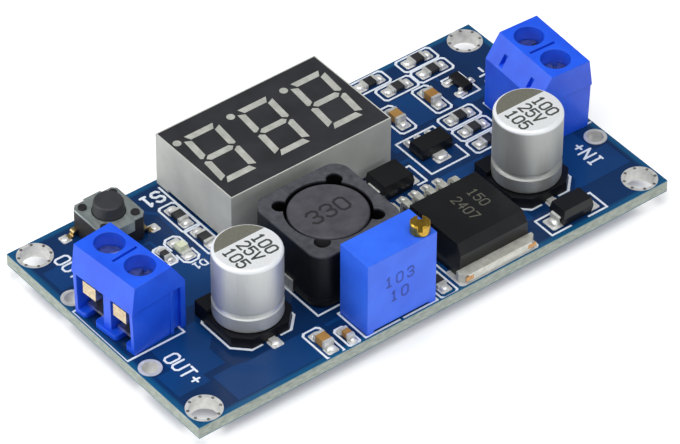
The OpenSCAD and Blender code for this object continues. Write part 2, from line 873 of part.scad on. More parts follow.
module output_capacitor_base() {
    on_board() translate(output_capacitor_at) capacitor_base();
}

module output_capacitor_can() {
    on_board() translate(output_capacitor_at) capacitor_can();
}

module output_capacitor_leads() {
    on_board() translate(output_capacitor_at) capacitor_leads();
}

module input_capacitor_base() {
    on_board() translate(input_capacitor_at) capacitor_base();
}

module input_capacitor_can() {
    on_board() translate(input_capacitor_at) capacitor_can();
}

module input_capacitor_leads() {
    on_board() translate(input_capacitor_at) capacitor_leads();
}

// ---------------------------------------------------------------- inductor

drum_sink = 0.12;
coil_lift = 0.3;
coil_deck = coil_lift + coil_base_t;

module inductor_terminals() {
    t = 0.2;
    reach = 2.4;
    color("#d2d4d2")
        on_board() translate(inductor_at)
            for (turn = [0, 180])
                rotate([0, 0, turn]) {
                    translate([coil_w / 2 - reach, -coil_terminal_w / 2, 0])
                        cube([reach + t, coil_terminal_w, t]);
                    translate([coil_w / 2, -coil_terminal_w / 2, t])
                        cube([t, coil_terminal_w, coil_deck + 0.6 - t]);
                }
}

module inductor_base() {
    color("#101114")
        on_board() translate(inductor_at)
            difference() {
                translate([0, 0, coil_lift - 0.1])
                    linear_extrude(coil_base_t + 0.1) round_rect(coil_w, coil_w, coil_corner);
                for (turn = [0, 180])
                    rotate([0, 0, turn])
                        translate([coil_w / 2 - 2.4 - fit_gap, -coil_terminal_w / 2 - fit_gap, 0])
                            cube([3, coil_terminal_w + 2 * fit_gap, 0.2 + fit_gap]);
            }
}

// Ferrite shield: square ring with a round bore and four corner pockets
module inductor_shield() {
    pocket_r = 0.95;
    pocket_at = coil_bore_r + 0.35;
    color("#33343a")
        on_board() translate([inductor_at[0], inductor_at[1], coil_deck])
            linear_extrude(coil_h - coil_deck)
                difference() {
                    round_rect(coil_w, coil_w, coil_corner);
                    circle(coil_bore_r, $fn = 96);
                    for (turn = [45:90:315])
                        rotate(turn) translate([pocket_at, 0]) circle(pocket_r);
                }
}

module inductor_drum() {
    drum_h = coil_h - drum_sink - coil_deck;
    color("#46464c")
        on_board() translate([inductor_at[0], inductor_at[1], coil_deck])
            rotate_extrude($fn = 96)
                polygon([
                    [0, 0], [drum_r, 0], [drum_r, drum_disc], [drum_post_r, drum_disc],
                    [drum_post_r, drum_h - drum_disc], [drum_r, drum_h - drum_disc],
                    [drum_r, drum_h - 0.15], [drum_r - 0.15, drum_h], [0, drum_h]
                ]);
}

module inductor_winding() {
    winding_h = coil_h - drum_sink - coil_deck - 2 * drum_disc - 0.1;
    color("#a8562a")
        on_board() translate([inductor_at[0], inductor_at[1], coil_deck + drum_disc + 0.05])
            difference() {
                cylinder(h = winding_h, r = drum_r - 0.25, $fn = 96);
                translate([0, 0, -cut]) cylinder(h = winding_h + 2 * cut, r = drum_post_r + fit_gap);
            }
}

// ------------------------------------------------------ switching regulator

ic_front = -ic_l / 2;
tab_under = 7.2;
tab_cut = 0.9;
lead_z = 2.7;

module tab_plan() {
    y0 = ic_front - tab_out;
    y1 = ic_front;
    polygon([
        [-tab_w / 2 + tab_cut, y0], [tab_w / 2 - tab_cut, y0], [tab_w / 2, y0 + tab_cut],
        [tab_w / 2, y1], [ic_w / 2 - 0.9, y1], [ic_w / 2 - 0.9, y1 + tab_under],
        [-ic_w / 2 + 0.9, y1 + tab_under], [-ic_w / 2 + 0.9, y1], [-tab_w / 2, y1],
        [-tab_w / 2, y0 + tab_cut]
    ]);
}

module regulator_leadframe_shape() {
    bend_r = 0.35;
    linear_extrude(tab_t) tab_plan();
    for (i = [-2:2])
        translate([i * ic_pitch, ic_l / 2 - 0.6, 0])
            rotate([0, 0, 90])
                gull_lead(lead_z, 2.35, 1.7, ic_lead_t, ic_lead_w, bend_r);
}

module regulator_leadframe() {
    color("#b9bcbc")
        on_board() translate(regulator_at) regulator_leadframe_shape();
}

// Moulded body with a stepped bevel over the tab
module regulator_body() {
    side_draft = 0.22;
    bevel_y = 0.75;
    bevel_z = 3.1;
    color("#16171a")
        on_board() translate(regulator_at)
            difference() {
                intersection() {
                    rotate([0, 0, 90])
                        side_prism(ic_w)
                            polygon([
                                [ic_front, body_lift], [ic_l / 2 - 0.2, body_lift],
                                [ic_l / 2, lead_z - ic_lead_t / 2], [ic_l / 2 - 0.25, ic_h],
                                [ic_front + bevel_y, ic_h], [ic_front, bevel_z]
                            ]);
                    side_prism(2 * ic_l)
                        polygon([
                            [-ic_w / 2, 0], [ic_w / 2, 0], [ic_w / 2, tab_t],
                            [ic_w / 2 - side_draft, ic_h], [-ic_w / 2 + side_draft, ic_h],
                            [-ic_w / 2, tab_t]
                        ]);
                }
                regulator_leadframe_shape();
            }
}

// ----------------------------------------------------------------- display

recess_z = 1.6;

module on_display() {
    on_board() translate(display_at) children();
}

module display_housing() {
    foot_w = 2.2;
    wall = 0.9;
    face_z = display_h - face_t;
    color("#b3b3ad")
        on_display()
            difference() {
                translate([-display_l / 2, -display_w / 2, 0]) cube([display_l, display_w, display_h]);
                // Pocket for the dark face
                translate([-display_l / 2 + face_rim, -display_w / 2 + face_rim, face_z])
                    cube([display_l - 2 * face_rim, display_w - 2 * face_rim, face_t + cut]);
                // Hollow under the cast resin
                translate([-display_l / 2 + wall, -display_w / 2 + wall, -cut])
                    cube([display_l - 2 * wall, display_w - 2 * wall, recess_z + cut]);
                // Relief between the corner feet
                translate([-display_l / 2 + foot_w, -display_w / 2 - cut, -cut])
                    cube([display_l - 2 * foot_w, display_w + 2 * cut, display_foot + cut]);
                translate([-display_l / 2 - cut, -display_w / 2 + foot_w, -cut])
                    cube([display_l + 2 * cut, display_w - 2 * foot_w, display_foot + cut]);
            }
}

function slant(p) = [p[0] + p[1] * tan(digit_slant), p[1]];

// The seven bars of a digit about its middle bar, as mitred outlines
half_bar = segment_w / 2;
bar_reach = digit_half_w - segment_gap;
function level_bar(y, side) = [
    for (p = [
        [-bar_reach - half_bar * 0.3 * abs(side), y + side * half_bar],
        [bar_reach + half_bar * 0.3 * abs(side), y + side * half_bar],
        [bar_reach - half_bar * 0.7, y - side * half_bar],
        [-bar_reach + half_bar * 0.7, y - side * half_bar]
    ]) slant(p)
];
function middle_bar() = [
    for (p = [
        [-bar_reach, 0], [-bar_reach + half_bar, half_bar], [bar_reach - half_bar, half_bar],
        [bar_reach, 0], [bar_reach - half_bar, -half_bar], [-bar_reach + half_bar, -half_bar]
    ]) slant(p)
];
function upright_bar(side, up) = [
    for (p = [
        [side * (digit_half_w + half_bar), up * (digit_half_h - segment_gap - 0.1)],
        [side * (digit_half_w - half_bar), up * (digit_half_h - segment_gap - 0.5)],
        [side * (digit_half_w - half_bar), up * (segment_gap + half_bar + 0.05)],
        [side * (digit_half_w + half_bar * 0.3), up * (segment_gap + 0.08)],
        [side * (digit_half_w + half_bar), up * (segment_gap + 0.25)]
    ]) slant(p)
];

module digit_shapes() {
    for (y = [-1, 1]) {
        polygon(level_bar(y * digit_half_h, y));
        for (x = [-1, 1]) polygon(upright_bar(x, y));
    }
    polygon(middle_bar());
    translate([-digit_half_w - 0.82, digit_half_h]) circle(dot_r);
}

module all_digits() {
    for (i = [-1:1])
        translate([i * digit_pitch, 0]) digit_shapes();
}

module display_face() {
    color("#333338")
        on_display()
            translate([0, 0, display_h - face_t])
                linear_extrude(face_t)
                    difference() {
                        square([display_l - 2 * face_rim, display_w - 2 * face_rim], center = true);
                        all_digits();
                    }
}

module display_segments() {
    color("#a9aaa2")
        on_display()
            translate([0, 0, display_h - face_t]) linear_extrude(face_t) all_digits();
}

module display_pins() {
    color("#c8cac8")
        at_display_pins() cylinder(h = top + recess_z, r = display_pin_r);
}

// Small-outline driver chip in the hollow under the display
module driver_leads_shape() {
    for (side = [0, 180], i = [0:9])
        rotate([0, 0, side])
            translate([(i - 4.5) * 0.65, driver_w / 2 - 0.2, 0])
                rotate([0, 0, 90]) gull_lead(0.65, 0.35, 0.45, 0.13, 0.22, 0.1);
}

module driver_leads() {
    color("#c8cac8") on_display() driver_leads_shape();
}

module driver_body() {
    color("#1a1b1e")
        on_display()
            difference() {
                translate([0, 0, body_lift])
                    moulded(driver_l, driver_w, driver_h - body_lift, 0.12, 0.5);
                driver_leads_shape();
            }
}

// ----------------------------------------------------------------- trimmer

trimmer_lift = 0.38;
adjuster_shank_r = 0.9;
adjuster_shank = 2.2;
adjuster_gap = 0.05;
// Screw axis in the trimmer's own frame
adjuster_at = [trimmer_l / 2 - adjuster_inset, -trimmer_w / 2 + adjuster_side];

module on_trimmer() {
    on_board() translate(trimmer_at) children();
}

module trimmer_housing() {
    ear = 1.3;
    recess = 0.35;
    stand_w = 0.9;
    color("#2f62f0")
        on_trimmer()
            difference() {
                translate([-trimmer_l / 2, -trimmer_w / 2, 0]) cube([trimmer_l, trimmer_w, trimmer_h]);
                // Back side set in between the two end ears
                translate([-trimmer_l / 2 + ear, trimmer_w / 2 - recess, -cut])
                    cube([trimmer_l - 2 * ear, recess + cut, trimmer_h - 1.0 + cut]);
                // Underside raised between the standoffs
                translate([-trimmer_l / 2 + stand_w, -trimmer_w, -cut])
                    cube([trimmer_l - 2 * stand_w, 2 * trimmer_w, trimmer_lift + cut]);
                translate([adjuster_at[0], adjuster_at[1], trimmer_h - adjuster_shank - 0.1])
                    cylinder(h = adjuster_shank + 1, r = adjuster_shank_r + adjuster_gap);
            }
}

module trimmer_screw() {
    slot_w = 0.5;
    slot_depth = 0.7;
    collar_gap = 0.05;
    color("#c9a94a")
        on_trimmer()
            translate([adjuster_at[0], adjuster_at[1], trimmer_h])
                difference() {
                    union() {
                        translate([0, 0, -adjuster_shank])
                            cylinder(h = adjuster_shank + collar_gap, r = adjuster_shank_r);
                        translate([0, 0, collar_gap])
                            cylinder(h = adjuster_h - collar_gap - 0.15, r = adjuster_r);
                        translate([0, 0, adjuster_h - 0.15])
                            cylinder(h = 0.15, r1 = adjuster_r, r2 = adjuster_r - 0.15);
                    }
                    rotate([0, 0, 52])
                        translate([0, 0, adjuster_h])
                            cube([3 * adjuster_r, slot_w, 2 * slot_depth], center = true);
                }
}

module trimmer_pins() {
    color("#c8cac8")
        at_trimmer_pins() cylinder(h = top + trimmer_lift, r = trimmer_pin_r);
}

// ------------------------------------------------------------- push switch

cover_t = 0.25;
rivet_r = 0.5;
rivet_at = 2.1;
button_base_r = button_r + 0.15;
flange_r = 2.25;
flange_t = 1.0;
well_floor = 1.2;
base_top = switch_h - cover_t;
flange_z = base_top - flange_t - 0.08;
dome_h = 0.5;
nub_z = well_floor + dome_h + 0.03;

module on_switch() {
    on_board() translate(switch_at) children();
}

module switch_base() {
    color("#1c1a1e")
        on_switch()
            difference() {
                union() {
                    translate([0, 0, body_lift])
                        linear_extrude(base_top - body_lift) cut_rect(switch_w, switch_w, 0.5);
                    for (x = [-1, 1], y = [-1, 1])
                        translate([x * rivet_at, y * rivet_at, base_top])
                            cylinder(h = cover_t + 0.18, r = rivet_r);
                }
                translate([0, 0, well_floor]) cylinder(h = switch_h, r = flange_r + 0.1);
                switch_leads_shape();
            }
}

module switch_cover() {
    tab_drop = 1.2;
    color("#6f7a78")
        on_switch()
            difference() {
                union() {
                    translate([0, 0, base_top])
                        linear_extrude(cover_t) cut_rect(switch_w, switch_w, 0.5);
                    // Folded clips down the two sides
                    for (side = [-1, 1])
                        translate([-1.2, side * (switch_w / 2 + cover_t / 2) - cover_t / 2, base_top - tab_drop])
                            cube([2.4, cover_t, tab_drop + cover_t]);
                }
                translate([0, 0, base_top - cut])
                    cylinder(h = cover_t + 2 * cut, r = button_base_r + button_gap);
                for (x = [-1, 1], y = [-1, 1])
                    translate([x * rivet_at, y * rivet_at, base_top - cut])
                        cylinder(h = cover_t + 2 * cut, r = rivet_r + fit_gap);
            }
}

module switch_button() {
    color("#3b3b40")
        on_switch()
            rotate_extrude($fn = 64)
                polygon([
                    [0, nub_z], [0.6, nub_z], [0.6, flange_z], [flange_r, flange_z],
                    [flange_r, flange_z + flange_t], [button_base_r, flange_z + flange_t],
                    [button_base_r, switch_h + button_travel + 0.05], [button_r, button_h - 0.15],
                    [button_r - 0.15, button_h], [0, button_h]
                ]);
}

// Snap dome that the button presses on
module switch_dome() {
    t = 0.1;
    foot_r = 2.0;
    sphere_r = (foot_r * foot_r + dome_h * dome_h) / (2 * dome_h);
    color("#c9ccce")
        on_switch()
            translate([0, 0, well_floor])
                rotate_extrude($fn = 64)
                    intersection() {
                        difference() {
                            translate([0, dome_h - sphere_r]) circle(sphere_r, $fn = 96);
                            translate([0, dome_h - sphere_r]) circle(sphere_r - t, $fn = 96);
                        }
                        square([foot_r, dome_h + cut]);
                    }
}

module switch_leads_shape() {
    for (x = [0, 1], y = [-1, 1])
        mirror([x, 0, 0])
            translate([switch_w / 2 - 0.5, y * 2.25, 0]) gull_lead(0.9, 0.75, 0.7, 0.2, 0.7, 0.15);
}

module switch_leads() {
    color("#b09458") on_switch() switch_leads_shape();
}

// ------------------------------------------------------------------ diodes

// Two folded leads on a block diode of the given size
module diode_leads(l, h, w) {
    for (turn = [0, 180])
        rotate([0, 0, turn]) folded_lead(l / 2 + 0.02, h / 2 + 0.1, 0.18, w, 1.0, 0.15);
}

module diode_body(l, w, h, lead_w) {
    difference() {
        translate([0, 0, 0.05]) moulded(l, w, h - 0.05, 0.18, h / 2);
        diode_leads(l, h, lead_w);
    }
}

schottky_lead_w = 2.0;
input_diode_lead_w = 1.45;

module schottky_body() {
    color("#18191c")
        on_board() translate(schottky_at) diode_body(schottky_l, schottky_w, schottky_h, schottky_lead_w);
}

module schottky_leads() {
    color("#c9cccc")
        on_board() translate(schottky_at) diode_leads(schottky_l, schottky_h, schottky_lead_w);
}

module input_diode_body() {
    color("#18191c")
        on_board() translate(input_diode_at)
            diode_body(input_diode_l, input_diode_w, input_diode_h, input_diode_lead_w);
}

module input_diode_leads() {
    color("#c9cccc")
        on_board() translate(input_diode_at)
            diode_leads(input_diode_l, input_diode_h, input_diode_lead_w);
}

// ---------------------------------------------------------- small packages

// Flat leads and heat tab of the small linear regulator
module sot89_leads_shape() {
    lead_t = 0.4;
    pitch = 1.5;
    for (i = [-1:1])
        translate([i * pitch - 0.22, sot89_d / 2 - 0.5, 0]) cube([0.44, 1.45, lead_t]);
    translate([-0.8, -sot89_d / 2 - 0.75, 0]) cube([1.6, sot89_d - 0.2, lead_t]);
}

module linear_regulator_leads() {
    color("#c9cccc") on_board() translate(linear_regulator_at) sot89_leads_shape();
}

module linear_regulator_body() {
    color("#17181b")
        on_board() translate(linear_regulator_at)
            difference() {
                moulded(sot89_w, sot89_d, sot89_h, 0.12, 0.4);
                sot89_leads_shape();
            }
}

module sot23_leads_shape() {
    for (y = [-0.95, 0.95])
        translate([-sot23_w / 2 + 0.2, y, 0])
            rotate([0, 0, 180]) gull_lead(0.6, 0.35, 0.3, 0.12, 0.42, 0.08);
    translate([sot23_w / 2 - 0.2, 0, 0]) gull_lead(0.6, 0.35, 0.3, 0.12, 0.42, 0.08);
}

module transistor_leads() {
    color("#c9cccc") on_board() translate(transistor_at) sot23_leads_shape();
}

module transistor_body() {
    color("#1a1b1f")
        on_board() translate(transistor_at)
            difference() {
                translate([0, 0, body_lift / 2])
                    moulded(sot23_w, sot23_l, sot23_h - body_lift / 2, 0.1, 0.5);
                sot23_leads_shape();
            }
}

// -------------------------------------------------------------- chip parts

small_l = chip_l * small_chip;
small_w = chip_w * small_chip * small_chip;
end_lap = 0.03;
chip_lift = 0.04;

// Ceramic block between the two metal ends of a chip part
module chip_block(l, w, t, end) {
    translate([-l / 2 + end, -w / 2, chip_lift]) cube([l - 2 * end, w, t]);
}

// Metal ends, each a plain cap a little larger than the block
module chip_caps(l, w, t, end) {
    for (side = [-1, 1])
        translate([side * (l - end) / 2 - end / 2, -w / 2 - end_lap, 0])
            cube([end, w + 2 * end_lap, t + chip_lift + end_lap]);
}

module chip_resistor_bodies() {
    color("#2b2b2e")
        on_board()
            for (c = chip_resistors)
                translate([c[0], c[1], 0]) rotate([0, 0, c[2]])
                    chip_block(c[3] ? small_l : chip_l, c[3] ? small_w : chip_w, resistor_t, chip_end);
}

module chip_resistor_ends() {
    color("#c6c9c8")
        on_board()
            for (c = chip_resistors)
                translate([c[0], c[1], 0]) rotate([0, 0, c[2]])
                    chip_caps(c[3] ? small_l : chip_l, c[3] ? small_w : chip_w, resistor_t, chip_end);
}

module ceramic_capacitor_bodies() {
    color("#a2783a")
        on_board()
            for (c = ceramic_capacitors)
                translate([c[0], c[1], 0]) rotate([0, 0, c[2]])
                    chip_block(c[3] ? small_l : chip_l, c[3] ? small_w : chip_w,
                        c[3] ? small_w : ceramic_t, chip_end);
}

module ceramic_capacitor_ends() {
    color("#c6c9c8")
        on_board()
            for (c = ceramic_capacitors)
                translate([c[0], c[1], 0]) rotate([0, 0, c[2]])
                    chip_caps(c[3] ? small_l : chip_l, c[3] ? small_w : chip_w,
                        c[3] ? small_w : ceramic_t, chip_end);
}

module lamp_body() {
    color("#dfe4c8")
        on_board() translate([lamp_at[0], lamp_at[1], chip_lift]) rotate([0, 0, 90]) {
            translate([-chip_l / 2 + chip_end, -chip_w / 2, 0])
                cube([chip_l - 2 * chip_end, chip_w, 0.3]);
            translate([0, 0, 0.3]) moulded(chip_l - 2 * chip_end, chip_w, lamp_h - 0.3, 0.12, 0.01);
        }
}

module lamp_ends() {
    color("#c6c9c8")
        on_board() translate(lamp_at) rotate([0, 0, 90]) chip_caps(chip_l, chip_w, 0.28, chip_end);
}

// ------------------------------------------------------------------- build

circuit_board();
hole_plating();
silkscreen();
solder_joints();
output_block_housing();
output_block_cages();
output_plus_guard();
output_plus_screw();
output_minus_guard();
output_minus_screw();
input_block_housing();
input_block_cages();
input_plus_guard();
input_plus_screw();
input_minus_guard();
input_minus_screw();
output_capacitor_base();
output_capacitor_can();
output_capacitor_leads();
input_capacitor_base();
input_capacitor_can();
input_capacitor_leads();
inductor_base();
inductor_shield();
inductor_drum();
inductor_winding();
inductor_terminals();
regulator_body();
regulator_leadframe();
display_housing();
display_face();
display_segments();
display_pins();
driver_body();
driver_leads();
trimmer_housing();
trimmer_screw();
trimmer_pins();
switch_base();
switch_cover();
switch_button();
switch_dome();
switch_leads();
schottky_body();
schottky_leads();
input_diode_body();
input_diode_leads();
linear_regulator_body();
linear_regulator_leads();
transistor_body();
transistor_leads();
chip_resistor_bodies();
chip_resistor_ends();
ceramic_capacitor_bodies();
ceramic_capacitor_ends();
lamp_body();
lamp_ends();
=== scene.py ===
from math import asin, cos, pi, radians, sin

import bmesh
import bpy
from mathutils import Matrix, Vector


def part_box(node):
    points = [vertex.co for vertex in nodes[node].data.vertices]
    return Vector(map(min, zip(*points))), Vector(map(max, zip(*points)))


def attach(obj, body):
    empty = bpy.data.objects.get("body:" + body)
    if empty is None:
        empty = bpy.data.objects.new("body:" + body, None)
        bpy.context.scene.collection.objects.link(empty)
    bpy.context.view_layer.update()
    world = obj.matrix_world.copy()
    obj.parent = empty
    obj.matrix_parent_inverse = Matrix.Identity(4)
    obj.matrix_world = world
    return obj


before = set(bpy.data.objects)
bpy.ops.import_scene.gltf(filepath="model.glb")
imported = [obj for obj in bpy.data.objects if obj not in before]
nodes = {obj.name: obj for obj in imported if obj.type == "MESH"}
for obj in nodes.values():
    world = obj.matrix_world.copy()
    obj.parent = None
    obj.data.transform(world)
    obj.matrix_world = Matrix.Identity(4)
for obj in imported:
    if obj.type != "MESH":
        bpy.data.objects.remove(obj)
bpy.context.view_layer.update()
MM = 0.001


# ---------------------------------------------------------------- circuit board
# Two-sided glass-epoxy laminate, 1.6 mm thick, with a glossy blue solder mask on
# both faces. The sawn edge shows the bare laminate. Copper areas and tracks lie
# under the mask and make it a little higher and lighter.

def rgb(code):
    """Linear colour of an sRGB hex code."""
    out = []
    for i in (1, 3, 5):
        c = int(code[i:i + 2], 16) / 255
        out.append(c / 12.92 if c <= 0.04045 else ((c + 0.055) / 1.055) ** 2.4)
    return (*out, 1)


def add(mat, kind, values):
    """Adds a shader node. Lower-case keys are its properties, the others its inputs."""
    made = mat.node_tree.nodes.new("ShaderNode" + kind)
    for key, value in values.items():
        if isinstance(key, str) and key.islower():
            setattr(made, key, value)
        elif isinstance(value, bpy.types.NodeSocket):
            mat.node_tree.links.new(value, made.inputs[key])
        else:
            made.inputs[key].default_value = value
    return made


def ramp(mat, factor, stops):
    """Colour ramp through (position, hex) stops."""
    made = add(mat, "ValToRGB", {"Fac": factor})
    points = made.color_ramp.elements
    while len(points) < len(stops):
        points.new(0.5)
    for point, (at, code) in zip(points, stops):
        point.position = at
        point.color = rgb(code)
    return made.outputs["Color"]


def noise(mat, where, size, detail=3, roughness=0.5):
    """Noise whose features are about `size` metres wide."""
    return add(mat, "TexNoise", {
        "Vector": where, "Scale": 1 / size, "Detail": detail, "Roughness": roughness,
    }).outputs["Fac"]


def start(name, rough, metal=0.0, ior=1.5, coat=0.0):
    """Empty material with its principled shader and its object coordinates."""
    mat = bpy.data.materials.new(name)
    mat.use_nodes = True
    shader = mat.node_tree.nodes["Principled BSDF"]
    shader.inputs["Roughness"].default_value = rough
    shader.inputs["Metallic"].default_value = metal
    shader.inputs["IOR"].default_value = ior
    shader.inputs["Coat Weight"].default_value = coat
    where = add(mat, "TexCoord", {}).outputs["Object"]
    return mat, shader, where


def feed(mat, shader, key, value):
    """Links a value to one of the shader's inputs."""
    mat.node_tree.links.new(value, shader.inputs[key])


def relief(mat, shader, height, depth, edge=0.0):
    """Bump of `depth` metres, over edges rounded by `edge` metres."""
    values = {"Height": height, "Distance": depth, "Strength": 1.0}
    if edge:
        values["Normal"] = add(mat, "Bevel", {"samples": 6, "Radius": edge}).outputs["Normal"]
    feed(mat, shader, "Normal", add(mat, "Bump", values).outputs["Normal"])


def dress(name, mat):
    """Gives a CAD node its material."""
    data = nodes[name].data
    if not data.materials:
        data.materials.append(mat)
    for slot in nodes[name].material_slots:
        slot.material = mat


def piece(name, bm, mat, smooth=False):
    """Turns a bmesh into a piece that rides on the board."""
    bmesh.ops.recalc_face_normals(bm, faces=bm.faces)
    data = bpy.data.meshes.new(name)
    bm.to_mesh(data)
    bm.free()
    for face in data.polygons:
        face.use_smooth = smooth
    data.materials.append(mat)
    made = bpy.data.objects.new(name, data)
    bpy.context.scene.collection.objects.link(made)
    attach(made, "board")


def plate(bm, outline, low, high):
    """Flat plate between two levels with the given outline."""
    face = bm.faces.new([bm.verts.new((x, y, low)) for x, y in outline])
    up = bmesh.ops.extrude_face_region(bm, geom=[face])
    tops = [v for v in up["geom"] if isinstance(v, bmesh.types.BMVert)]
    bmesh.ops.translate(bm, verts=tops, vec=(0, 0, high - low))


board_low, board_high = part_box("circuit_board")
TOP = board_high.z
half_l, half_w = board_high.x, board_high.y
# Distances from the sawn edge: what counts as on it, and where the mask's lighter
# border fades in. The mask hangs over the edge's rims by the last pair.
EDGE_SKIN = 0.004 * MM
BORDER_FROM, BORDER_TO = 0.85 * MM, 0.4 * MM
RIM_FROM, RIM_TO = 0.16 * MM, 0.06 * MM
MASK_ROUGH, SAWN_ROUGH = 0.2, 0.75


def mask_material(name, stops):
    """Blue solder mask; on the board's sawn edge the bare laminate shows."""
    mat, shader, where = start(name, MASK_ROUGH, ior=1.4)
    tone = ramp(mat, noise(mat, where, 9 * MM, 2), stops)
    # Pale laminate with the woven glass in thin layers along Z
    split = add(mat, "SeparateXYZ", {"Vector": where})
    flat = add(mat, "Mapping", {"Vector": where, "Scale": (0.35, 0.35, 1)}).outputs["Vector"]
    layers = noise(mat, flat, 0.3 * MM, 4, 0.65)
    glass = ramp(mat, layers, [(0.3, "#8b9389"), (0.5, "#a2aaa0"), (0.72, "#b9beb4")])
    # How far a point is from the nearest sawn edge: 0 on the edge faces, less inwards
    gaps = []
    for axis, half in (("X", half_l), ("Y", half_w)):
        away = add(mat, "Math", {"operation": "ABSOLUTE", 0: split.outputs[axis]})
        gaps.append(add(mat, "Math", {"operation": "SUBTRACT", 0: away.outputs[0], 1: half}).outputs[0])
    gap = add(mat, "Math", {"operation": "MAXIMUM", 0: gaps[0], 1: gaps[1]}).outputs[0]
    # The copper stops short of the edge, and light comes through the bare laminate there
    border = add(mat, "MapRange", {
        "Value": gap, "From Min": -BORDER_FROM, "From Max": -BORDER_TO,
    }).outputs["Result"]
    through = add(mat, "MixRGB", {"Fac": border, "Color1": tone, "Color2": rgb("#12507a")})
    edge = add(mat, "Math", {"operation": "GREATER_THAN", 0: gap, 1: -EDGE_SKIN}).outputs[0]
    # The mask hangs a little over both rims of the edge
    middle, half = (TOP + board_low.z) / 2, (TOP - board_low.z) / 2
    height = add(mat, "Math", {"operation": "SUBTRACT", 0: split.outputs["Z"], 1: middle})
    off_middle = add(mat, "Math", {"operation": "ABSOLUTE", 0: height.outputs[0]})
    rim = add(mat, "MapRange", {
        "Value": off_middle.outputs[0], "From Min": half - RIM_FROM, "From Max": half - RIM_TO,
    }).outputs["Result"]
    sawn = add(mat, "MixRGB", {"Fac": rim, "Color1": glass, "Color2": rgb("#4f7d92")})
    mix = add(mat, "MixRGB", {
        "Fac": edge, "Color1": through.outputs["Color"], "Color2": sawn.outputs["Color"],
    })
    feed(mat, shader, "Base Color", mix.outputs["Color"])
    rough = add(mat, "MapRange", {"Value": edge, "To Min": MASK_ROUGH, "To Max": SAWN_ROUGH})
    feed(mat, shader, "Roughness", rough.outputs["Result"])
    relief(mat, shader, noise(mat, where, 1.6 * MM, 3), 0.006 * MM)
    return mat


board_mask = mask_material("blue_solder_mask", [(0.3, "#0a2850"), (0.7, "#0d3260")])
copper_mask = mask_material("mask_over_copper", [(0.3, "#0c3668"), (0.7, "#0f3f76")])
dress("circuit_board", board_mask)

# Copper areas under the mask, drawn in millimetres from the board's centre
COPPER_AREAS = [
    [(-29.9, -3.9), (-23.2, -3.9), (-23.2, -7.0), (-24.6, -8.4), (-24.6, -11.3), (-27.6, -11.3),
     (-27.6, -12.6), (-31.8, -12.6), (-31.8, -8.6), (-29.9, -8.6)],
    [(-27.0, -12.2), (-24.0, -12.2), (-22.6, -12.6), (-12.9, -12.6), (-12.9, -13.6), (-13.8, -14.3),
     (-13.8, -16.9), (-27.0, -16.9)],
    [(-29.9, 6.2), (-27.6, 6.2), (-27.6, 12.6), (-31.8, 12.6), (-31.8, 9.0), (-29.9, 9.0)],
    [(-19.9, 5.2), (-14.9, 5.2), (-13.2, 3.5), (-13.2, -1.6), (-22.6, -1.6), (-22.6, 4.4), (-20.6, 4.4)],
    [(23.6, -12.7), (31.8, -12.7), (31.8, -8.6), (29.9, -8.6), (29.9, -4.4), (24.9, -4.4), (24.9, -11.2)],
    [(11.6, -1.6), (19.2, -1.6), (19.2, -3.6), (11.6, -3.6)],
    [(11.7, 4.6), (11.7, 10.6), (14.2, 10.6), (14.2, 6.4), (13.0, 5.2), (13.0, 4.6)],
    [(16.8, 6.9), (19.6, 6.9), (19.6, 12.2), (16.8, 12.2)],
    [(22.5, 6.4), (27.3, 6.4), (27.3, 8.0), (22.5, 8.0)],
    [(2.9, -13.2), (4.0, -13.2), (4.0, -17.0), (2.9, -17.0)],
    [(15.4, -11.4), (17.0, -11.4), (17.0, -13.5), (15.4, -13.5)],
]
# Tracks: width, then the points that they run through
TRACKS = [
    (0.5, [(-16.0, 8.9), (-15.6, 12.7), (-18.4, 15.6)]),
    (0.4, [(-19.3, 8.2), (-19.3, 9.6), (-22.0, 9.6), (-26.4, 11.0)]),
    (0.4, [(-13.0, 3.2), (-12.7, 8.0)]),
    (0.5, [(10.9, 3.0), (12.2, 3.0), (12.2, 0.4)]),
    (0.4, [(19.2, 5.3), (18.2, 6.3)]),
    (0.4, [(23.8, 0.2), (24.6, -1.0), (24.6, -3.4)]),
    (0.4, [(23.7, 11.9), (23.7, 12.6), (21.6, 12.6)]),
    (0.5, [(-9.5, -13.2), (-12.2, -13.2)]),
]
COPPER_T = 0.012 * MM
# Bars that overlap get tops this far apart, so that no two faces lie in one plane
STEP = 0.0012 * MM
TRACK_LEVELS = 3


def rod_outline(a, b, width, steps=6):
    """Outline of a bar with round ends from a to b."""
    r = width / 2
    turn = (Vector(b) - Vector(a)).angle_signed(Vector((1, 0))) if a != b else 0.0
    out = []
    for i in range(2 * steps + 2):
        end, j = (b, i) if i <= steps else (a, i - 1)
        angle = turn - pi / 2 + pi * j / steps
        out.append((end[0] + r * cos(angle), end[1] + r * sin(angle)))
    return out


bm = bmesh.new()
for area in COPPER_AREAS:
    plate(bm, [(x * MM, y * MM) for x, y in area], TOP - COPPER_T, TOP + COPPER_T)
for width, points in TRACKS:
    for i, (a, b) in enumerate(zip(points, points[1:])):
        flat = rod_outline((a[0] * MM, a[1] * MM), (b[0] * MM, b[1] * MM), width * MM)
        plate(bm, flat, TOP - COPPER_T, TOP + COPPER_T + (i % TRACK_LEVELS + 1) * STEP)
piece("copper_under_mask", bm, copper_mask)


# ------------------------------------------------------- plated holes and solder
# The corner holes and the wire holes are plated through and dipped in solder, so
# their walls and rings are bright tin. Each corner hole's ring has eight small
# stitching holes. The soldered pins below the board carry cones of solder.

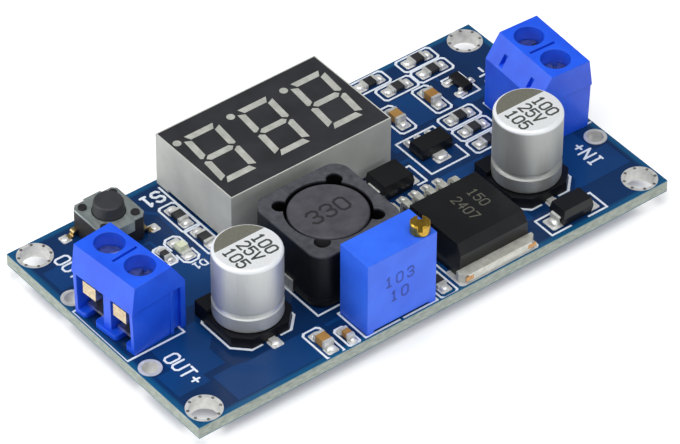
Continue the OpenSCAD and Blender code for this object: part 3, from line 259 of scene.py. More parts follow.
def tin_material(name, dark, light, rough):
    """Tin or solder that froze in soft waves: bright, but too dull to mirror."""
    mat, shader, where = start(name, rough, metal=0.45)
    tone = noise(mat, where, 0.7 * MM, 3)
    feed(mat, shader, "Base Color", ramp(mat, tone, [(0.25, dark), (0.75, light)]))
    fine = noise(mat, where, 0.35 * MM)
    uneven = add(mat, "MapRange", {"Value": fine, "To Min": rough * 0.8, "To Max": rough * 1.3})
    feed(mat, shader, "Roughness", uneven.outputs["Result"])
    relief(mat, shader, noise(mat, where, 0.7 * MM, 2), 0.02 * MM)
    return mat


hole_tin = tin_material("dipped_tin", "#cfcfca", "#efede9", 0.34)
solder = tin_material("solder", "#dcdcd8", "#f8f7f4", 0.28)
dress("hole_plating", hole_tin)
dress("solder_joints", solder)


def solids(name):
    """Boxes, lowest then highest corner, of the separate solids in a CAD node."""
    bm = bmesh.new()
    bm.from_mesh(nodes[name].data)
    bmesh.ops.remove_doubles(bm, verts=bm.verts, dist=1e-7)
    left, out = set(bm.verts), []
    while left:
        stack = [left.pop()]
        group = []
        while stack:
            v = stack.pop()
            group.append(v.co.copy())
            for e in v.link_edges:
                other = e.other_vert(v)
                if other in left:
                    left.remove(other)
                    stack.append(other)
        out.append([Vector(f(c[i] for c in group) for i in range(3)) for f in (min, max)])
    bm.free()
    return sorted(out, key=lambda b: tuple(round(x, 5) for x in b[0]))


def disc_points(x, y, r, steps):
    """Points of a circle in plan."""
    return [(x + r * cos(2 * pi * i / steps), y + r * sin(2 * pi * i / steps)) for i in range(steps)]


# The stitching holes are filled with solder. Each is a flat disc a little proud of the ring, painted dark
# grey for the shade in its dip.
# Only the corner holes' rings are wider than WIRE_RING_MAX.
STITCHES = 8
STITCH_R, STITCH_T = 0.19 * MM, 0.012 * MM
STITCH_INSET = 0.27 * MM
WIRE_RING_MAX = 4 * MM
SINK = 0.01 * MM  # added plates reach this far into what carries them
bm = bmesh.new()
for low, high in solids("hole_plating"):
    if high.x - low.x < WIRE_RING_MAX:
        continue
    middle = (low + high) / 2
    ring = (high.x - low.x) / 2 - STITCH_INSET
    for i in range(STITCHES):
        angle = radians(180 / STITCHES * (2 * i + 1))
        at = (middle.x + ring * cos(angle), middle.y + ring * sin(angle))
        plate(bm, disc_points(*at, STITCH_R, 12), high.z - 2 * SINK, high.z + STITCH_T)
# Painted shade: dark grey tin for the shaded dip of each stitching hole
stitch_shade, shader, where = start("stitch_hole_painted_shade", 0.35, metal=0.6)
tone = noise(stitch_shade, where, 0.3 * MM)
feed(stitch_shade, shader, "Base Color", ramp(stitch_shade, tone, [(0.3, "#5a5a58"), (0.7, "#9a9994")]))
piece("stitch_holes", bm, stitch_shade)


# --------------------------------------------------------------- printed legend
# White epoxy ink, screen printed. The outlines are a CAD node; the labels for the
# terminals, the switch and the lamp are drawn here in plain round-ended strokes.

# Letters as strokes on a grid of this width and height
GRID_W, GRID_H = 4, 6
LETTERS = {
    "O": [[(1, 0), (3, 0), (4, 1), (4, 5), (3, 6), (1, 6), (0, 5), (0, 1), (1, 0)]],
    "U": [[(0, 6), (0, 1), (1, 0), (3, 0), (4, 1), (4, 6)]],
    "T": [[(0, 6), (4, 6)], [(2, 6), (2, 0)]],
    "I": [[(2, 0), (2, 6)], [(1, 0), (3, 0)], [(1, 6), (3, 6)]],
    "N": [[(0, 0), (0, 6), (4, 0), (4, 6)]],
    "S": [[(0, 1), (1, 0), (3, 0), (4, 1), (4, 2), (3, 3), (1, 3), (0, 4), (0, 5), (1, 6), (3, 6),
           (4, 5)]],
    "D": [[(0, 0), (0, 6), (2.5, 6), (4, 4.5), (4, 1.5), (2.5, 0), (0, 0)]],
    "V": [[(0, 6), (2, 0), (4, 6)]],
    "+": [[(0.4, 3), (3.6, 3)], [(2, 1.4), (2, 4.6)]],
    "-": [[(0.4, 3), (3.6, 3)]],
    "0": [[(1, 0), (3, 0), (4, 1), (4, 5), (3, 6), (1, 6), (0, 5), (0, 1), (1, 0)]],
    "1": [[(0.8, 4.8), (2, 6), (2, 0)], [(0.8, 0), (3.2, 0)]],
    "2": [[(0, 5), (1, 6), (3, 6), (4, 5), (4, 3.9), (0, 0), (4, 0)]],
    "3": [[(0, 5), (1, 6), (3, 6), (4, 5), (4, 4), (3, 3), (1.6, 3)],
          [(3, 3), (4, 2), (4, 1), (3, 0), (1, 0), (0, 1)]],
    "4": [[(3, 0), (3, 6), (0, 2), (4, 2)]],
    "5": [[(4, 6), (0.2, 6), (0, 3.3), (1, 3.9), (3, 3.9), (4, 2.9), (4, 1), (3, 0), (1, 0), (0, 1)]],
    "7": [[(0, 6), (4, 6), (1.5, 0)]],
}
STROKE_LEVELS = 5


def write(bm, text, place, style, low, high):
    """Strokes of a line of text. `place` sets its left foot and direction in plan, and
    `style` holds a letter's height, its width over its height, the pitch and the stroke."""
    height, aspect, pitch, width = style
    stroke = 0
    for i, letter in enumerate(text):
        for line in LETTERS[letter]:
            points = []
            for gx, gy in line:
                along = i * pitch + gx / GRID_W * height * aspect
                at = place @ Vector((along, gy / GRID_H * height, 0))
                points.append((at.x, at.y))
            for a, b in zip(points, points[1:]):
                stroke += 1
                plate(bm, rod_outline(a, b, width, 4), low, high + stroke % STROKE_LEVELS * STEP)


def spot(x, y, turn=0):
    """Place in plan, turned by `turn` degrees."""
    return Matrix.Translation((x, y, 0)) @ Matrix.Rotation(radians(turn), 4, "Z")


# Matt ink, thinner where the screen's mesh lay, so its white is a little patchy
print_ink, shader, where = start("legend_ink", 0.5)
patches = noise(print_ink, where, 0.25 * MM, 4, 0.7)
feed(print_ink, shader, "Base Color", ramp(print_ink, patches, [(0.25, "#c3ccd8"), (0.55, "#e6ecf4")]))
relief(print_ink, shader, noise(print_ink, where, 0.12 * MM, 4), 0.01 * MM)
dress("silkscreen", print_ink)

PRINT_T = 0.04 * MM
TERMINAL_STYLE = (1.75 * MM, 0.58, 1.42 * MM, 0.26 * MM)
SWITCH_STYLE = (1.75 * MM, 0.62, 1.5 * MM, 0.34 * MM)
LAMP_STYLE = (0.95 * MM, 0.72, 0.95 * MM, 0.2 * MM)
# Text, its place in millimetres from the board's centre, its turn and its style
LABELS = (
    ("OUT+", -29.6, -6.7, -90, TERMINAL_STYLE),
    ("OUT-", -29.6, 13.6, -90, TERMINAL_STYLE),
    ("IN+", 29.7, -10.6, 90, TERMINAL_STYLE),
    ("IN-", 29.7, 7.0, 90, TERMINAL_STYLE),
    ("S1", -13.5, 16.1, 180, SWITCH_STYLE),
    ("D1", -16.3, 3.7, 180, LAMP_STYLE),
)
bm = bmesh.new()
for text, x, y, turn, style in LABELS:
    write(bm, text, spot(x * MM, y * MM, turn), style, TOP, TOP + PRINT_T)
piece("printed_labels", bm, print_ink)


# ----------------------------------------------------------------- solder fillets
# Reflowed solder on the surface-mount pads: a thin tinned pad and, on it, a full
# rounded fillet that climbs the metal end or the foot of each lead.

UNEVEN = 0.05  # a blob's rim runs in and out by this share of its radius
WAVES_X, WAVES_Y = 3.1, 2.3
SHIFT_X, SHIFT_Y = 900, 700  # radians per metre, so that no two blobs are alike
SQUARE_POWER, FULL_POWER = 0.75, 0.85  # below 1: squarer in plan, fuller in height


def dome(bm, x, y, rx, ry, height):
    """Rounded blob of solder, standing on the board."""
    ball = bmesh.ops.create_icosphere(bm, subdivisions=3, radius=1.0)["verts"]
    for v in ball:
        rim = 1 + UNEVEN * sin(WAVES_X * v.co.x + SHIFT_X * x) * cos(WAVES_Y * v.co.y + SHIFT_Y * y)
        out = [rim * (abs(c) ** SQUARE_POWER) * (1 if c > 0 else -1) for c in v.co.xy]
        up = max(v.co.z, 0) ** FULL_POWER
        v.co = (x + rx * out[0], y + ry * out[1], TOP + height * up)


PAD_T = 0.045 * MM


def pad(bm, low_x, low_y, high_x, high_y, corner=0.15 * MM):
    """Tinned pad with cut corners."""
    in_x, in_y = (low_x + corner, high_x - corner), (low_y + corner, high_y - corner)
    plate(bm, [
        (in_x[0], low_y), (in_x[1], low_y), (high_x, in_y[0]), (high_x, in_y[1]),
        (in_x[1], high_y), (in_x[0], high_y), (low_x, in_y[1]), (low_x, in_y[0]),
    ], TOP - SINK, TOP + PAD_T)


def outer_end(low, high, away):
    """Axis that a lead or a chip's end points along, its sign, and its tip's place."""
    along = 0 if abs(away.x) > abs(away.y) else 1
    side = 1 if away[along] > 0 else -1
    return along, side, high[along] if side > 0 else low[along]


# Chip parts: the pad goes under the metal end and past it, by more on a wide chip
WIDE_CHIP = 1 * MM
REACH_NARROW, REACH_WIDE = 0.62 * MM, 0.95 * MM
PAD_UNDER, PAD_BESIDE = 0.3 * MM, 0.1 * MM
# Its fillet: the centre's place and the half length over that reach, the half width
# over the chip's width, and the height over the end's, which counts up to END_MAX
FILLET_AT, FILLET_LONG, FILLET_WIDE, FILLET_TALL = 0.42, 0.5, 0.46, 0.8
END_MAX = 0.62 * MM
bm = bmesh.new()
blobs = bmesh.new()
for bodies, ends in (
    ("chip_resistor_bodies", "chip_resistor_ends"),
    ("ceramic_capacitor_bodies", "ceramic_capacitor_ends"),
    ("lamp_body", "lamp_ends"),
):
    middles = [(low + high) / 2 for low, high in solids(bodies)]
    for low, high in solids(ends):
        centre = (low + high) / 2
        away = centre - min(middles, key=lambda m: (m - centre).length)
        along, side, tip = outer_end(low, high, away)
        across = 1 - along
        width = high[across] - low[across]
        reach = REACH_NARROW if width < WIDE_CHIP else REACH_WIDE
        ends_at = sorted((tip - side * PAD_UNDER, tip + side * reach))
        box = [[0, 0], [0, 0]]
        for i in (0, 1):
            box[i][along] = ends_at[i]
            box[i][across] = centre[across] + (2 * i - 1) * (width / 2 + PAD_BESIDE)
        pad(bm, *box[0], *box[1])
        blob, radii = centre.copy(), [0, 0]
        blob[along] = tip + side * reach * FILLET_AT
        radii[along], radii[across] = reach * FILLET_LONG, width * FILLET_WIDE
        dome(blobs, blob.x, blob.y, *radii, min(high.z - TOP, END_MAX) * FILLET_TALL)


FOOT_SHARE = 0.75  # a foot's fillet covers this share of its pad


def solder_feet(name, pad_out, pad_side, height):
    """Pad and fillet at the outer foot of every lead of a component."""
    leads = solids(name)
    middle = sum((low + high for low, high in leads), Vector()) / (2 * len(leads))
    for low, high in leads:
        foot = (low + high) / 2
        along, _, tip = outer_end(low, high, foot - middle)
        across = 1 - along
        foot[along] = tip
        half = [0, 0]
        half[along], half[across] = pad_out, (high[across] - low[across]) / 2 + pad_side
        pad(bm, foot.x - half[0], foot.y - half[1], foot.x + half[0], foot.y + half[1])
        dome(blobs, foot.x, foot.y, half[0] * FOOT_SHARE, half[1] * FOOT_SHARE, height)


# Leads, then the pad's reach past and beside the foot and the fillet's height, in mm
for name, out, beside, height in (
    ("output_capacitor_leads", 0.75, 0.3, 0.34),
    ("input_capacitor_leads", 0.75, 0.3, 0.34),
    ("schottky_leads", 0.9, 0.3, 0.6),
    ("input_diode_leads", 0.9, 0.3, 0.6),
    ("transistor_leads", 0.5, 0.28, 0.4),
    ("switch_leads", 0.6, 0.3, 0.25),
):
    solder_feet(name, out * MM, beside * MM, height * MM)

# The switching regulator's leads; the wider solid of its frame is the tab
LEAD_MAX = 5 * MM
LEAD_PAD_HALF, LEAD_PAD_BACK, LEAD_PAD_OUT = 0.55 * MM, 0.9 * MM, 0.7 * MM
LEAD_FILLET = (0.42 * MM, 0.6 * MM, 0.55 * MM)
for low, high in solids("regulator_leadframe"):
    if high.x - low.x > LEAD_MAX:
        continue
    x = (low.x + high.x) / 2
    pad(bm, x - LEAD_PAD_HALF, high.y - LEAD_PAD_BACK, x + LEAD_PAD_HALF, high.y + LEAD_PAD_OUT)
    dome(blobs, x, high.y, *LEAD_FILLET)

# The linear regulator's three leads on one side, and its wide one on the other
SMALL_PAD_MIN, SMALL_PAD_BESIDE, SMALL_PAD_OUT = 0.4 * MM, 0.2 * MM, 0.6 * MM
SMALL_FILLET = 0.5 * MM
for low, high in solids("linear_regulator_leads"):
    x = (low.x + high.x) / 2
    y = low.y if low.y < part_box("linear_regulator_body")[0].y else high.y
    half = max((high.x - low.x) / 2 + SMALL_PAD_BESIDE, SMALL_PAD_MIN)
    pad(bm, x - half, y - SMALL_PAD_OUT, x + half, y + SMALL_PAD_OUT)
    dome(blobs, x, y, half * 0.8, SMALL_FILLET, SMALL_FILLET)

# The tab's pad stays clear of the sawn edge
TAB_PAD_OUT, TAB_PAD_BESIDE, TAB_PAD_UNDER = 0.45 * MM, 0.25 * MM, 3 * MM
EDGE_CLEAR = 0.2 * MM
tab_low, tab_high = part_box("regulator_leadframe")
pad_edge = max(tab_low.y - TAB_PAD_OUT, -half_w + EDGE_CLEAR)
pad(bm, tab_low.x - TAB_PAD_BESIDE, pad_edge,
    tab_high.x + TAB_PAD_BESIDE, tab_low.y + TAB_PAD_UNDER, 0.3 * MM)
piece("tinned_pads", bm, solder)
piece("solder_fillets", blobs, solder, smooth=True)


# ---------------------------------------------------------------- terminal blocks
# Injection-moulded blue nylon housings with a faint flow pattern and edges rounded
# by the mould. The cages are tinned steel sheet, the wire guards nickel-flashed
# brass, and the slotted screws zinc-plated steel.

def plastic(name, dark, light, rough, grain, depth, edge=0.0, blotch=3 * MM, ior=1.5):
    """Moulded plastic: two tones in broad flow, fine grain and rounded edges."""
    mat, shader, where = start(name, rough, ior=ior)
    flow = noise(mat, where, blotch, 3)
    feed(mat, shader, "Base Color", ramp(mat, flow, [(0.3, dark), (0.7, light)]))
    fine = noise(mat, where, grain, 4, 0.6)
    uneven = add(mat, "MapRange", {"Value": fine, "To Min": rough - 0.06, "To Max": rough + 0.08})
    feed(mat, shader, "Roughness", uneven.outputs["Result"])
    relief(mat, shader, fine, depth, edge)
    return mat


def metal(name, dark, light, rough, size, depth=0.01 * MM, edge=0.0, stretch=(1, 1, 1)):
    """Bare or plated metal with a drawn or tumbled surface."""
    mat, shader, where = start(name, rough, metal=1.0)
    grain = add(mat, "Mapping", {"Vector": where, "Scale": stretch}).outputs["Vector"]
    fine = noise(mat, grain, size, 4, 0.6)
    feed(mat, shader, "Base Color", ramp(mat, fine, [(0.25, dark), (0.75, light)]))
    uneven = add(mat, "MapRange", {"Value": fine, "To Min": rough * 0.75, "To Max": rough * 1.3})
    feed(mat, shader, "Roughness", uneven.outputs["Result"])
    relief(mat, shader, fine, depth, edge)
    return mat


# Nylon has a soft sheen. The tin is grey, the flashed brass stays warm, and the zinc is
# the smoothest, so its glints are the sharpest.
nylon = plastic("blue_nylon", "#1450e2", "#1b5ef2", 0.36, 0.35 * MM, 0.012 * MM, edge=0.12 * MM)
cage_tin = metal("tinned_sheet", "#bfc0bc", "#e4e5e2", 0.34, 0.4 * MM)
guard_brass = metal("nickel_flashed_brass", "#bda884", "#e6d6b4", 0.36, 0.5 * MM, edge=0.06 * MM)
screw_zinc = metal("zinc_plate", "#9fa3a6", "#d3d6d8", 0.24, 0.5 * MM, edge=0.05 * MM)
for end in ("output", "input"):
    dress(end + "_block_housing", nylon)
    dress(end + "_block_cages", cage_tin)
    for pole in ("plus", "minus"):
        dress(f"{end}_{pole}_guard", guard_brass)
        dress(f"{end}_{pole}_screw", screw_zinc)


# --------------------------------------------------------- electrolytic capacitors
# Drawn aluminium cans with a satin lacquer, crimped over a rubber seal at the
# neck, on black moulded bases. The top has a dark polarity field and plain values
# printed on it.

def can_material(name, dark, light, rough, rim):
    """Drawn aluminium; above `rim` the white lacquer of the top runs over the edge."""
    mat, shader, where = start(name, rough, metal=0.7)
    drawn = add(mat, "Mapping", {"Vector": where, "Scale": (1, 1, 0.12)}).outputs["Vector"]
    fine = noise(mat, drawn, 0.25 * MM, 4, 0.6)
    bare = ramp(mat, fine, [(0.1, dark), (0.9, light)])
    height = add(mat, "SeparateXYZ", {"Vector": where}).outputs["Z"]
    lacquer = add(mat, "MapRange", {
        "Value": height, "From Min": rim, "From Max": rim + 0.25 * MM,
    }).outputs["Result"]
    mix = add(mat, "MixRGB", {"Fac": lacquer, "Color1": bare, "Color2": rgb("#eef0f2")})
    feed(mat, shader, "Base Color", mix.outputs["Color"])
    shine = add(mat, "MapRange", {"Value": lacquer, "To Min": 0.7, "To Max": 0.15})
    feed(mat, shader, "Metallic", shine.outputs["Result"])
    uneven = add(mat, "MapRange", {"Value": fine, "To Min": rough - 0.03, "To Max": rough + 0.05})
    feed(mat, shader, "Roughness", uneven.outputs["Result"])
    relief(mat, shader, fine, 0.0025 * MM)
    return mat


seal_plastic = plastic("black_base_plastic", "#0c0d10", "#121318", 0.4, 0.3 * MM, 0.008 * MM,
                       edge=0.08 * MM, ior=1.3)
lead_tin = tin_material("lead_tin", "#c4c5c1", "#e6e6e2", 0.34)
# White lacquer with a faint grain, and over it worn ink, paler where it has thinned
top_lacquer, shader, where = start("top_lacquer", 0.42, metal=0.25)
grain = noise(top_lacquer, where, 0.2 * MM, 4)
feed(top_lacquer, shader, "Base Color", ramp(top_lacquer, grain, [(0.2, "#dfe1e2"), (0.8, "#f4f5f6")]))
polarity_ink, shader, where = start("polarity_ink", 0.5)
speckle = noise(polarity_ink, where, 0.16 * MM, 5, 0.75)
worn = ramp(polarity_ink, speckle, [(0.3, "#55554b"), (0.55, "#6f6e62"), (0.75, "#8b8a7e")])
feed(polarity_ink, shader, "Base Color", worn)
value_ink = plastic("value_ink", "#303532", "#41463f", 0.5, 0.2 * MM, 0.004 * MM)

# The lacquered field stops inside the can's rounded rim, and the polarity mark is the
# part of it past a chord at MARK_CHORD from the centre
CAN_RIM, CAN_LACQUER_LINE = 0.38 * MM, 0.55 * MM
CAN_MARK_T = 0.02 * MM
MARK_CHORD = 1.38 * MM
CAN_STYLE = (1.42 * MM, 0.58, 1.17 * MM, 0.25 * MM)
CAN_TEXT_LEFT = 0.85 * MM
RIM_STEPS, ARC_STEPS = 64, 24
# Painted shade: the input can's aluminium is drawn a darker grey than the output can's, as a shaded copy
# of one metal
for end, tones in (("output", ("#cbcdcb", "#d6d8d5")), ("input", ("#acaeab", "#b9bbb8"))):
    low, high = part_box(end + "_capacitor_can")
    middle, r = (low + high) / 2, (high.x - low.x) / 2
    flat_r = r - CAN_RIM
    dress(end + "_capacitor_base", seal_plastic)
    dress(end + "_capacitor_leads", lead_tin)
    aluminium = can_material(end + "_can_aluminium", *tones, 0.46, high.z - CAN_LACQUER_LINE)
    dress(end + "_capacitor_can", aluminium)
    first = asin(MARK_CHORD / flat_r)
    arc = [first + (pi - 2 * first) * i / ARC_STEPS for i in range(ARC_STEPS + 1)]
    for name, mat, outline, lift in (
        ("_can_top", top_lacquer, disc_points(middle.x, middle.y, flat_r, RIM_STEPS), 0.5),
        ("_polarity_mark", polarity_ink,
         [(middle.x + flat_r * cos(a), middle.y + flat_r * sin(a)) for a in arc], 1.0),
    ):
        bm = bmesh.new()
        plate(bm, outline, high.z - CAN_MARK_T, high.z + lift * CAN_MARK_T)
        piece(end + name, bm, mat)
    bm = bmesh.new()
    for text, x in (("100", 1.15), ("25V", -0.8), ("105", -2.75)):
        place = spot(middle.x + x * MM, middle.y + CAN_TEXT_LEFT, -90)
        write(bm, text, place, CAN_STYLE, high.z, high.z + 1.1 * CAN_MARK_T)
    piece(end + "_capacitor_values", bm, value_ink)


# ------------------------------------------------------------------ power inductor
# Pressed ferrite: a square shield with a round bore, and in it the wound drum; the dark
# glue that sets it in place is not drawn. The value is painted on the drum as a plain number.

# How far below the top face the painted light of the lit top begins, and where it is full
LIT_TOP_FROM, LIT_TOP_FULL = 0.35 * MM, 0.1 * MM


def painted_lit_top(mat, shader, level, dark, light):
    """Paler grey with a fine grain up to `level`: painted light that draws the top face lighter than the
    black sides, as if lit from above.
    """
    where = add(mat, "TexCoord", {}).outputs["Object"]
    height = add(mat, "SeparateXYZ", {"Vector": where}).outputs["Z"]
    up = add(mat, "MapRange", {
        "Value": height, "From Min": level - LIT_TOP_FROM, "From Max": level - LIT_TOP_FULL,
    })
    lit_tone = ramp(mat, noise(mat, where, 0.8 * MM, 4, 0.65), [(0.3, dark), (0.7, light)])
    before = shader.inputs["Base Color"].links[0].from_socket
    mix = add(mat, "MixRGB", {"Fac": up.outputs["Result"], "Color1": before, "Color2": lit_tone})
    feed(mat, shader, "Base Color", mix.outputs["Color"])


# Pressed ferrite is near black with a dull gloss, the drum's is greyer and more matt,
# and the enamel turns the copper dark red
ferrite = plastic("pressed_ferrite", "#09090b", "#101013", 0.45, 0.4 * MM, 0.012 * MM,
                  edge=0.2 * MM, blotch=1.2 * MM, ior=1.35)
shield_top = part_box("inductor_shield")[1].z
# Painted light: the shield's top face is drawn a paler grey than its near-black sides
painted_lit_top(ferrite, ferrite.node_tree.nodes["Principled BSDF"], shield_top, "#3d3e43", "#54555b")
drum_ferrite = plastic("drum_ferrite", "#3b3a40", "#4d4c52", 0.55, 0.5 * MM, 0.01 * MM,
                       edge=0.15 * MM, blotch=1.5 * MM)
winding = metal("enamelled_copper", "#3c2318", "#6d3b22", 0.3, 0.3 * MM)
dress("inductor_shield", ferrite)
dress("inductor_base", seal_plastic)
dress("inductor_drum", drum_ferrite)
dress("inductor_winding", winding)
dress("inductor_terminals", lead_tin)

value_paint = plastic("value_paint", "#17171a", "#212125", 0.6, 0.2 * MM, 0.02 * MM)
PAINT_T = 0.02 * MM
DRUM_STYLE = (2.0 * MM, 0.66, 1.9 * MM, 0.3 * MM)
low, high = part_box("inductor_drum")
middle = (low + high) / 2
bm = bmesh.new()
place = spot(middle.x - 2.55 * MM, middle.y - 0.95 * MM)
write(bm, "330", place, DRUM_STYLE, high.z - SINK, high.z + PAINT_T)
piece("inductor_value", bm, value_paint)


# ---------------------------------------------------------- three-digit voltmeter
# Grey moulded display shell with a matt black front film. The light bars are
# milky epoxy, unlit, so they look light grey.

display_shell = plastic("grey_display_shell", "#b9bab4", "#c8c9c2", 0.5, 0.5 * MM, 0.01 * MM,
                        edge=0.08 * MM)
display_film = plastic("black_front_film", "#2a2a2d", "#333337", 0.5, 0.25 * MM, 0.006 * MM, ior=1.3)
bar_epoxy = plastic("milky_bar_epoxy", "#a2a39b", "#b9bab2", 0.42, 0.3 * MM, 0.012 * MM, blotch=1 * MM)
dress("display_housing", display_shell)
dress("display_face", display_film)
dress("display_segments", bar_epoxy)
dress("display_pins", lead_tin)


# ------------------------------------------------------------------------- trimmer
# Multi-turn trimmer in a glossy blue moulded box with its value pressed into the
# front, and a slotted brass adjusting screw on top.

trimmer_shell = plastic("blue_trimmer_shell", "#2560ea", "#2f6df6", 0.42, 0.25 * MM, 0.02 * MM,
                        edge=0.12 * MM)
trimmer_brass = metal("turned_brass", "#a87f24", "#dcb650", 0.3, 0.3 * MM, edge=0.05 * MM)
dress("trimmer_housing", trimmer_shell)
dress("trimmer_screw", trimmer_brass)
dress("trimmer_pins", lead_tin)


def stand_up(strokes, y):
    """Puts strokes drawn in plan on a wall at `y` that faces -Y."""
    for v in strokes.verts:
        v.co = (v.co.x, y - v.co.z, v.co.y)


# The pressed figures hold shadow, so they are drawn in a darker blue
press_blue = plastic("pressed_value", "#153ba6", "#1b45b4", 0.5, 0.2 * MM, 0.01 * MM)
TRIMMER_STYLE = (1.35 * MM, 0.62, 1.5 * MM, 0.22 * MM)
PRESS_T = 0.02 * MM
low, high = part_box("trimmer_housing")
bm = bmesh.new()
for text, up in (("103", 5.6), ("10", 3.3)):
    left = (low.x + high.x) / 2 - len(text) * TRIMMER_STYLE[2] / 2
    write(bm, text, spot(left, TOP + up * MM), TRIMMER_STYLE, 0, PRESS_T)
stand_up(bm, low.y)
piece("trimmer_value", bm, press_blue)


# --------------------------------------------------------------------- push switch
# Tactile switch: black moulded base, satin steel cover held by four swaged pins,
# black rubbery button and yellowed silver-plated leads.

switch_black = plastic("switch_black_plastic", "#151416", "#201e22", 0.45, 0.3 * MM, 0.012 * MM,
                       edge=0.06 * MM)
switch_steel = metal("satin_cover_steel", "#aab4b1", "#c6cecb", 0.42, 0.4 * MM,
                     stretch=(1, 0.2, 1), edge=0.05 * MM)
button_black = plastic("button_black_plastic", "#28282b", "#37373b", 0.5, 0.25 * MM, 0.03 * MM,
                       edge=0.08 * MM)
yellow_silver = metal("yellowed_silver", "#a5854a", "#d9c493", 0.3, 0.4 * MM)
dress("switch_base", switch_black)
dress("switch_cover", switch_steel)
dress("switch_button", button_black)
dress("switch_dome", switch_steel)
dress("switch_leads", yellow_silver)


# ------------------------------------------------- regulator, diodes, small chips
# Black epoxy moulding compound with a fine matt texture. The switching regulator's
# copper tab and leads are tinned, with bare copper where the tie bars were cut.

compound = plastic("mould_compound", "#0e0e10", "#161618", 0.32, 0.12 * MM, 0.006 * MM,
                   edge=0.03 * MM, ior=1.4)
tab_tin = tin_material("tab_tin", "#bdbcb1", "#dfded4", 0.36)
for name in ("regulator", "driver", "schottky", "input_diode", "linear_regulator", "transistor"):
    dress(name + "_body", compound)
for name in ("driver", "schottky", "input_diode", "linear_regulator", "transistor"):
    dress(name + "_leads", lead_tin)
dress("regulator_leadframe", tab_tin)

# Stubs of the tie bars on the tab's outer edge, near its corners
CUT_INSET, CUT_HALF = 0.9 * MM, 0.55 * MM
CUT_OUT, CUT_IN = 0.02 * MM, 0.1 * MM
CUT_LOW, CUT_HIGH = 0.45 * MM, 1.0 * MM
bare_copper = metal("bare_copper", "#a3744a", "#d9ab74", 0.35, 0.2 * MM)
bm = bmesh.new()
for side in (-1, 1):
    x = (tab_low.x + tab_high.x) / 2 + side * ((tab_high.x - tab_low.x) / 2 - CUT_INSET)
    outer, inner = tab_low.y - CUT_OUT, tab_low.y + CUT_IN
    plate(bm, [(x - CUT_HALF, outer), (x + CUT_HALF, outer), (x + CUT_HALF, inner), (x - CUT_HALF, inner)],
          TOP + CUT_LOW, TOP + CUT_HIGH)
piece("tie_bar_cuts", bm, bare_copper)

# Plain numbers marked by laser, a little paler than the compound
laser_mark = plastic("laser_mark", "#4a4a40", "#5c5b50", 0.55, 0.15 * MM, 0.004 * MM)
MARK_STYLE = (1.2 * MM, 0.6, 1.05 * MM, 0.16 * MM)
MARK_T = 0.006 * MM
MARK_LEFT = 2.2 * MM
low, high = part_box("regulator_body")
middle = (low + high) / 2
bm = bmesh.new()
for text, x in (("150", 1.6), ("2407", -0.7)):
    place = spot(middle.x + x * MM, middle.y + MARK_LEFT, -90)
    write(bm, text, place, MARK_STYLE, high.z - SINK, high.z + MARK_T)
piece("regulator_marking", bm, laser_mark)


# ---------------------------------------------------------------------- chip parts
# Thick-film resistors with a black glaze, ceramic capacitors in tan, and the
# indicator lamp under clear resin. Their ends are tinned.

glaze = plastic("resistor_glaze", "#222224", "#38373a", 0.32, 0.2 * MM, 0.01 * MM, edge=0.06 * MM)
tan = plastic("tan_ceramic", "#96662c", "#b28c4c", 0.45, 0.3 * MM, 0.02 * MM, edge=0.08 * MM)
resin = plastic("lamp_resin", "#c9d0b0", "#e3e6cc", 0.25, 0.4 * MM, 0.01 * MM,
                edge=0.08 * MM, blotch=0.8 * MM)
dress("chip_resistor_bodies", glaze)
dress("ceramic_capacitor_bodies", tan)
dress("lamp_body", resin)
for name in ("chip_resistor_ends", "ceramic_capacitor_ends", "lamp_ends"):
    dress(name, lead_tin)


# --------------------------------------------------------- floor, light and camera
# Plain near-white floor, a broad soft lamp overhead, and weaker ones at the sides.

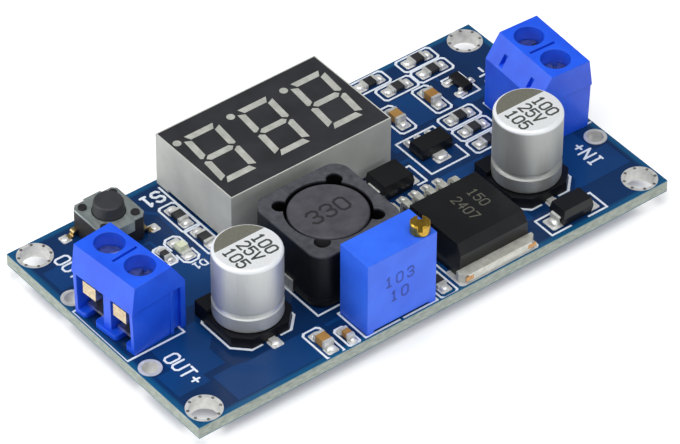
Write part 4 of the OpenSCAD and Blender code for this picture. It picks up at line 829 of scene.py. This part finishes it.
FLOOR_HALF = 1.5
bm = bmesh.new()
bmesh.ops.create_grid(bm, x_segments=1, y_segments=1, size=FLOOR_HALF)
data = bpy.data.meshes.new("floor")
bm.to_mesh(data)
bm.free()
floor_mat, shader, where = start("floor_paper", 0.9)
paper = ramp(floor_mat, noise(floor_mat, where, 40 * MM), [(0.3, "#f8f8f8"), (0.7, "#fcfcfc")])
feed(floor_mat, shader, "Base Color", paper)
feed(floor_mat, shader, "Emission Color", paper)
shader.inputs["Emission Strength"].default_value = 0.22
data.materials.append(floor_mat)
floor = bpy.data.objects.new("floor", data)
bpy.context.scene.collection.objects.link(floor)

# A pale, even sky lights the board, and the camera sees it as plain white
world = bpy.data.worlds.new("studio")
world.use_nodes = True
bpy.context.scene.world = world
back = world.node_tree.nodes["Background"]
shine = add(world, "Background", {"Color": (1, 1, 1, 1), "Strength": 1.0})
ray = add(world, "LightPath", {})
mix = add(world, "MixShader", {
    "Fac": ray.outputs["Is Camera Ray"], 1: back.outputs[0], 2: shine.outputs[0],
})
back.inputs["Color"].default_value = rgb("#dfe4ea")
back.inputs["Strength"].default_value = 0.24
world.node_tree.links.new(mix.outputs[0], world.node_tree.nodes["World Output"].inputs["Surface"])


def lamp(name, place, size, watts):
    """Soft area lamp that looks at the board."""
    light = bpy.data.lights.new(name, "AREA")
    light.shape = "RECTANGLE"
    light.size, light.size_y = size
    light.energy = watts
    made = bpy.data.objects.new(name, light)
    made.location = place
    made.rotation_euler = (Vector((0, 0, 0)) - Vector(place)).to_track_quat("-Z", "Y").to_euler()
    bpy.context.scene.collection.objects.link(made)


lamp("overhead", (-0.05, -0.05, 0.42), (0.5, 0.5), 1.9)
lamp("left", (-0.36, 0.18, 0.17), (0.3, 0.2), 0.75)
lamp("front", (0.12, -0.42, 0.22), (0.3, 0.2), 0.3)

# A long lens, level with the horizon, from the front left corner and well above
view = bpy.data.cameras.new("camera")
view.sensor_width = 36
view.lens = 266.9
view.clip_start = 0.01
camera = bpy.data.objects.new("camera", view)
right = Vector((0.78698, -0.61697, 0.00307))
down = Vector((-0.40408, -0.51917, -0.75311))
ahead = Vector((0.46624, 0.59145, -0.65788))
turn = Matrix((right, -down, -ahead)).transposed().to_4x4()
camera.matrix_world = Matrix.Translation((-0.262888, -0.333494, 0.373298)) @ turn
bpy.context.scene.collection.objects.link(camera)
bpy.context.scene.camera = camera
bpy.context.scene.view_settings.view_transform = "Standard"
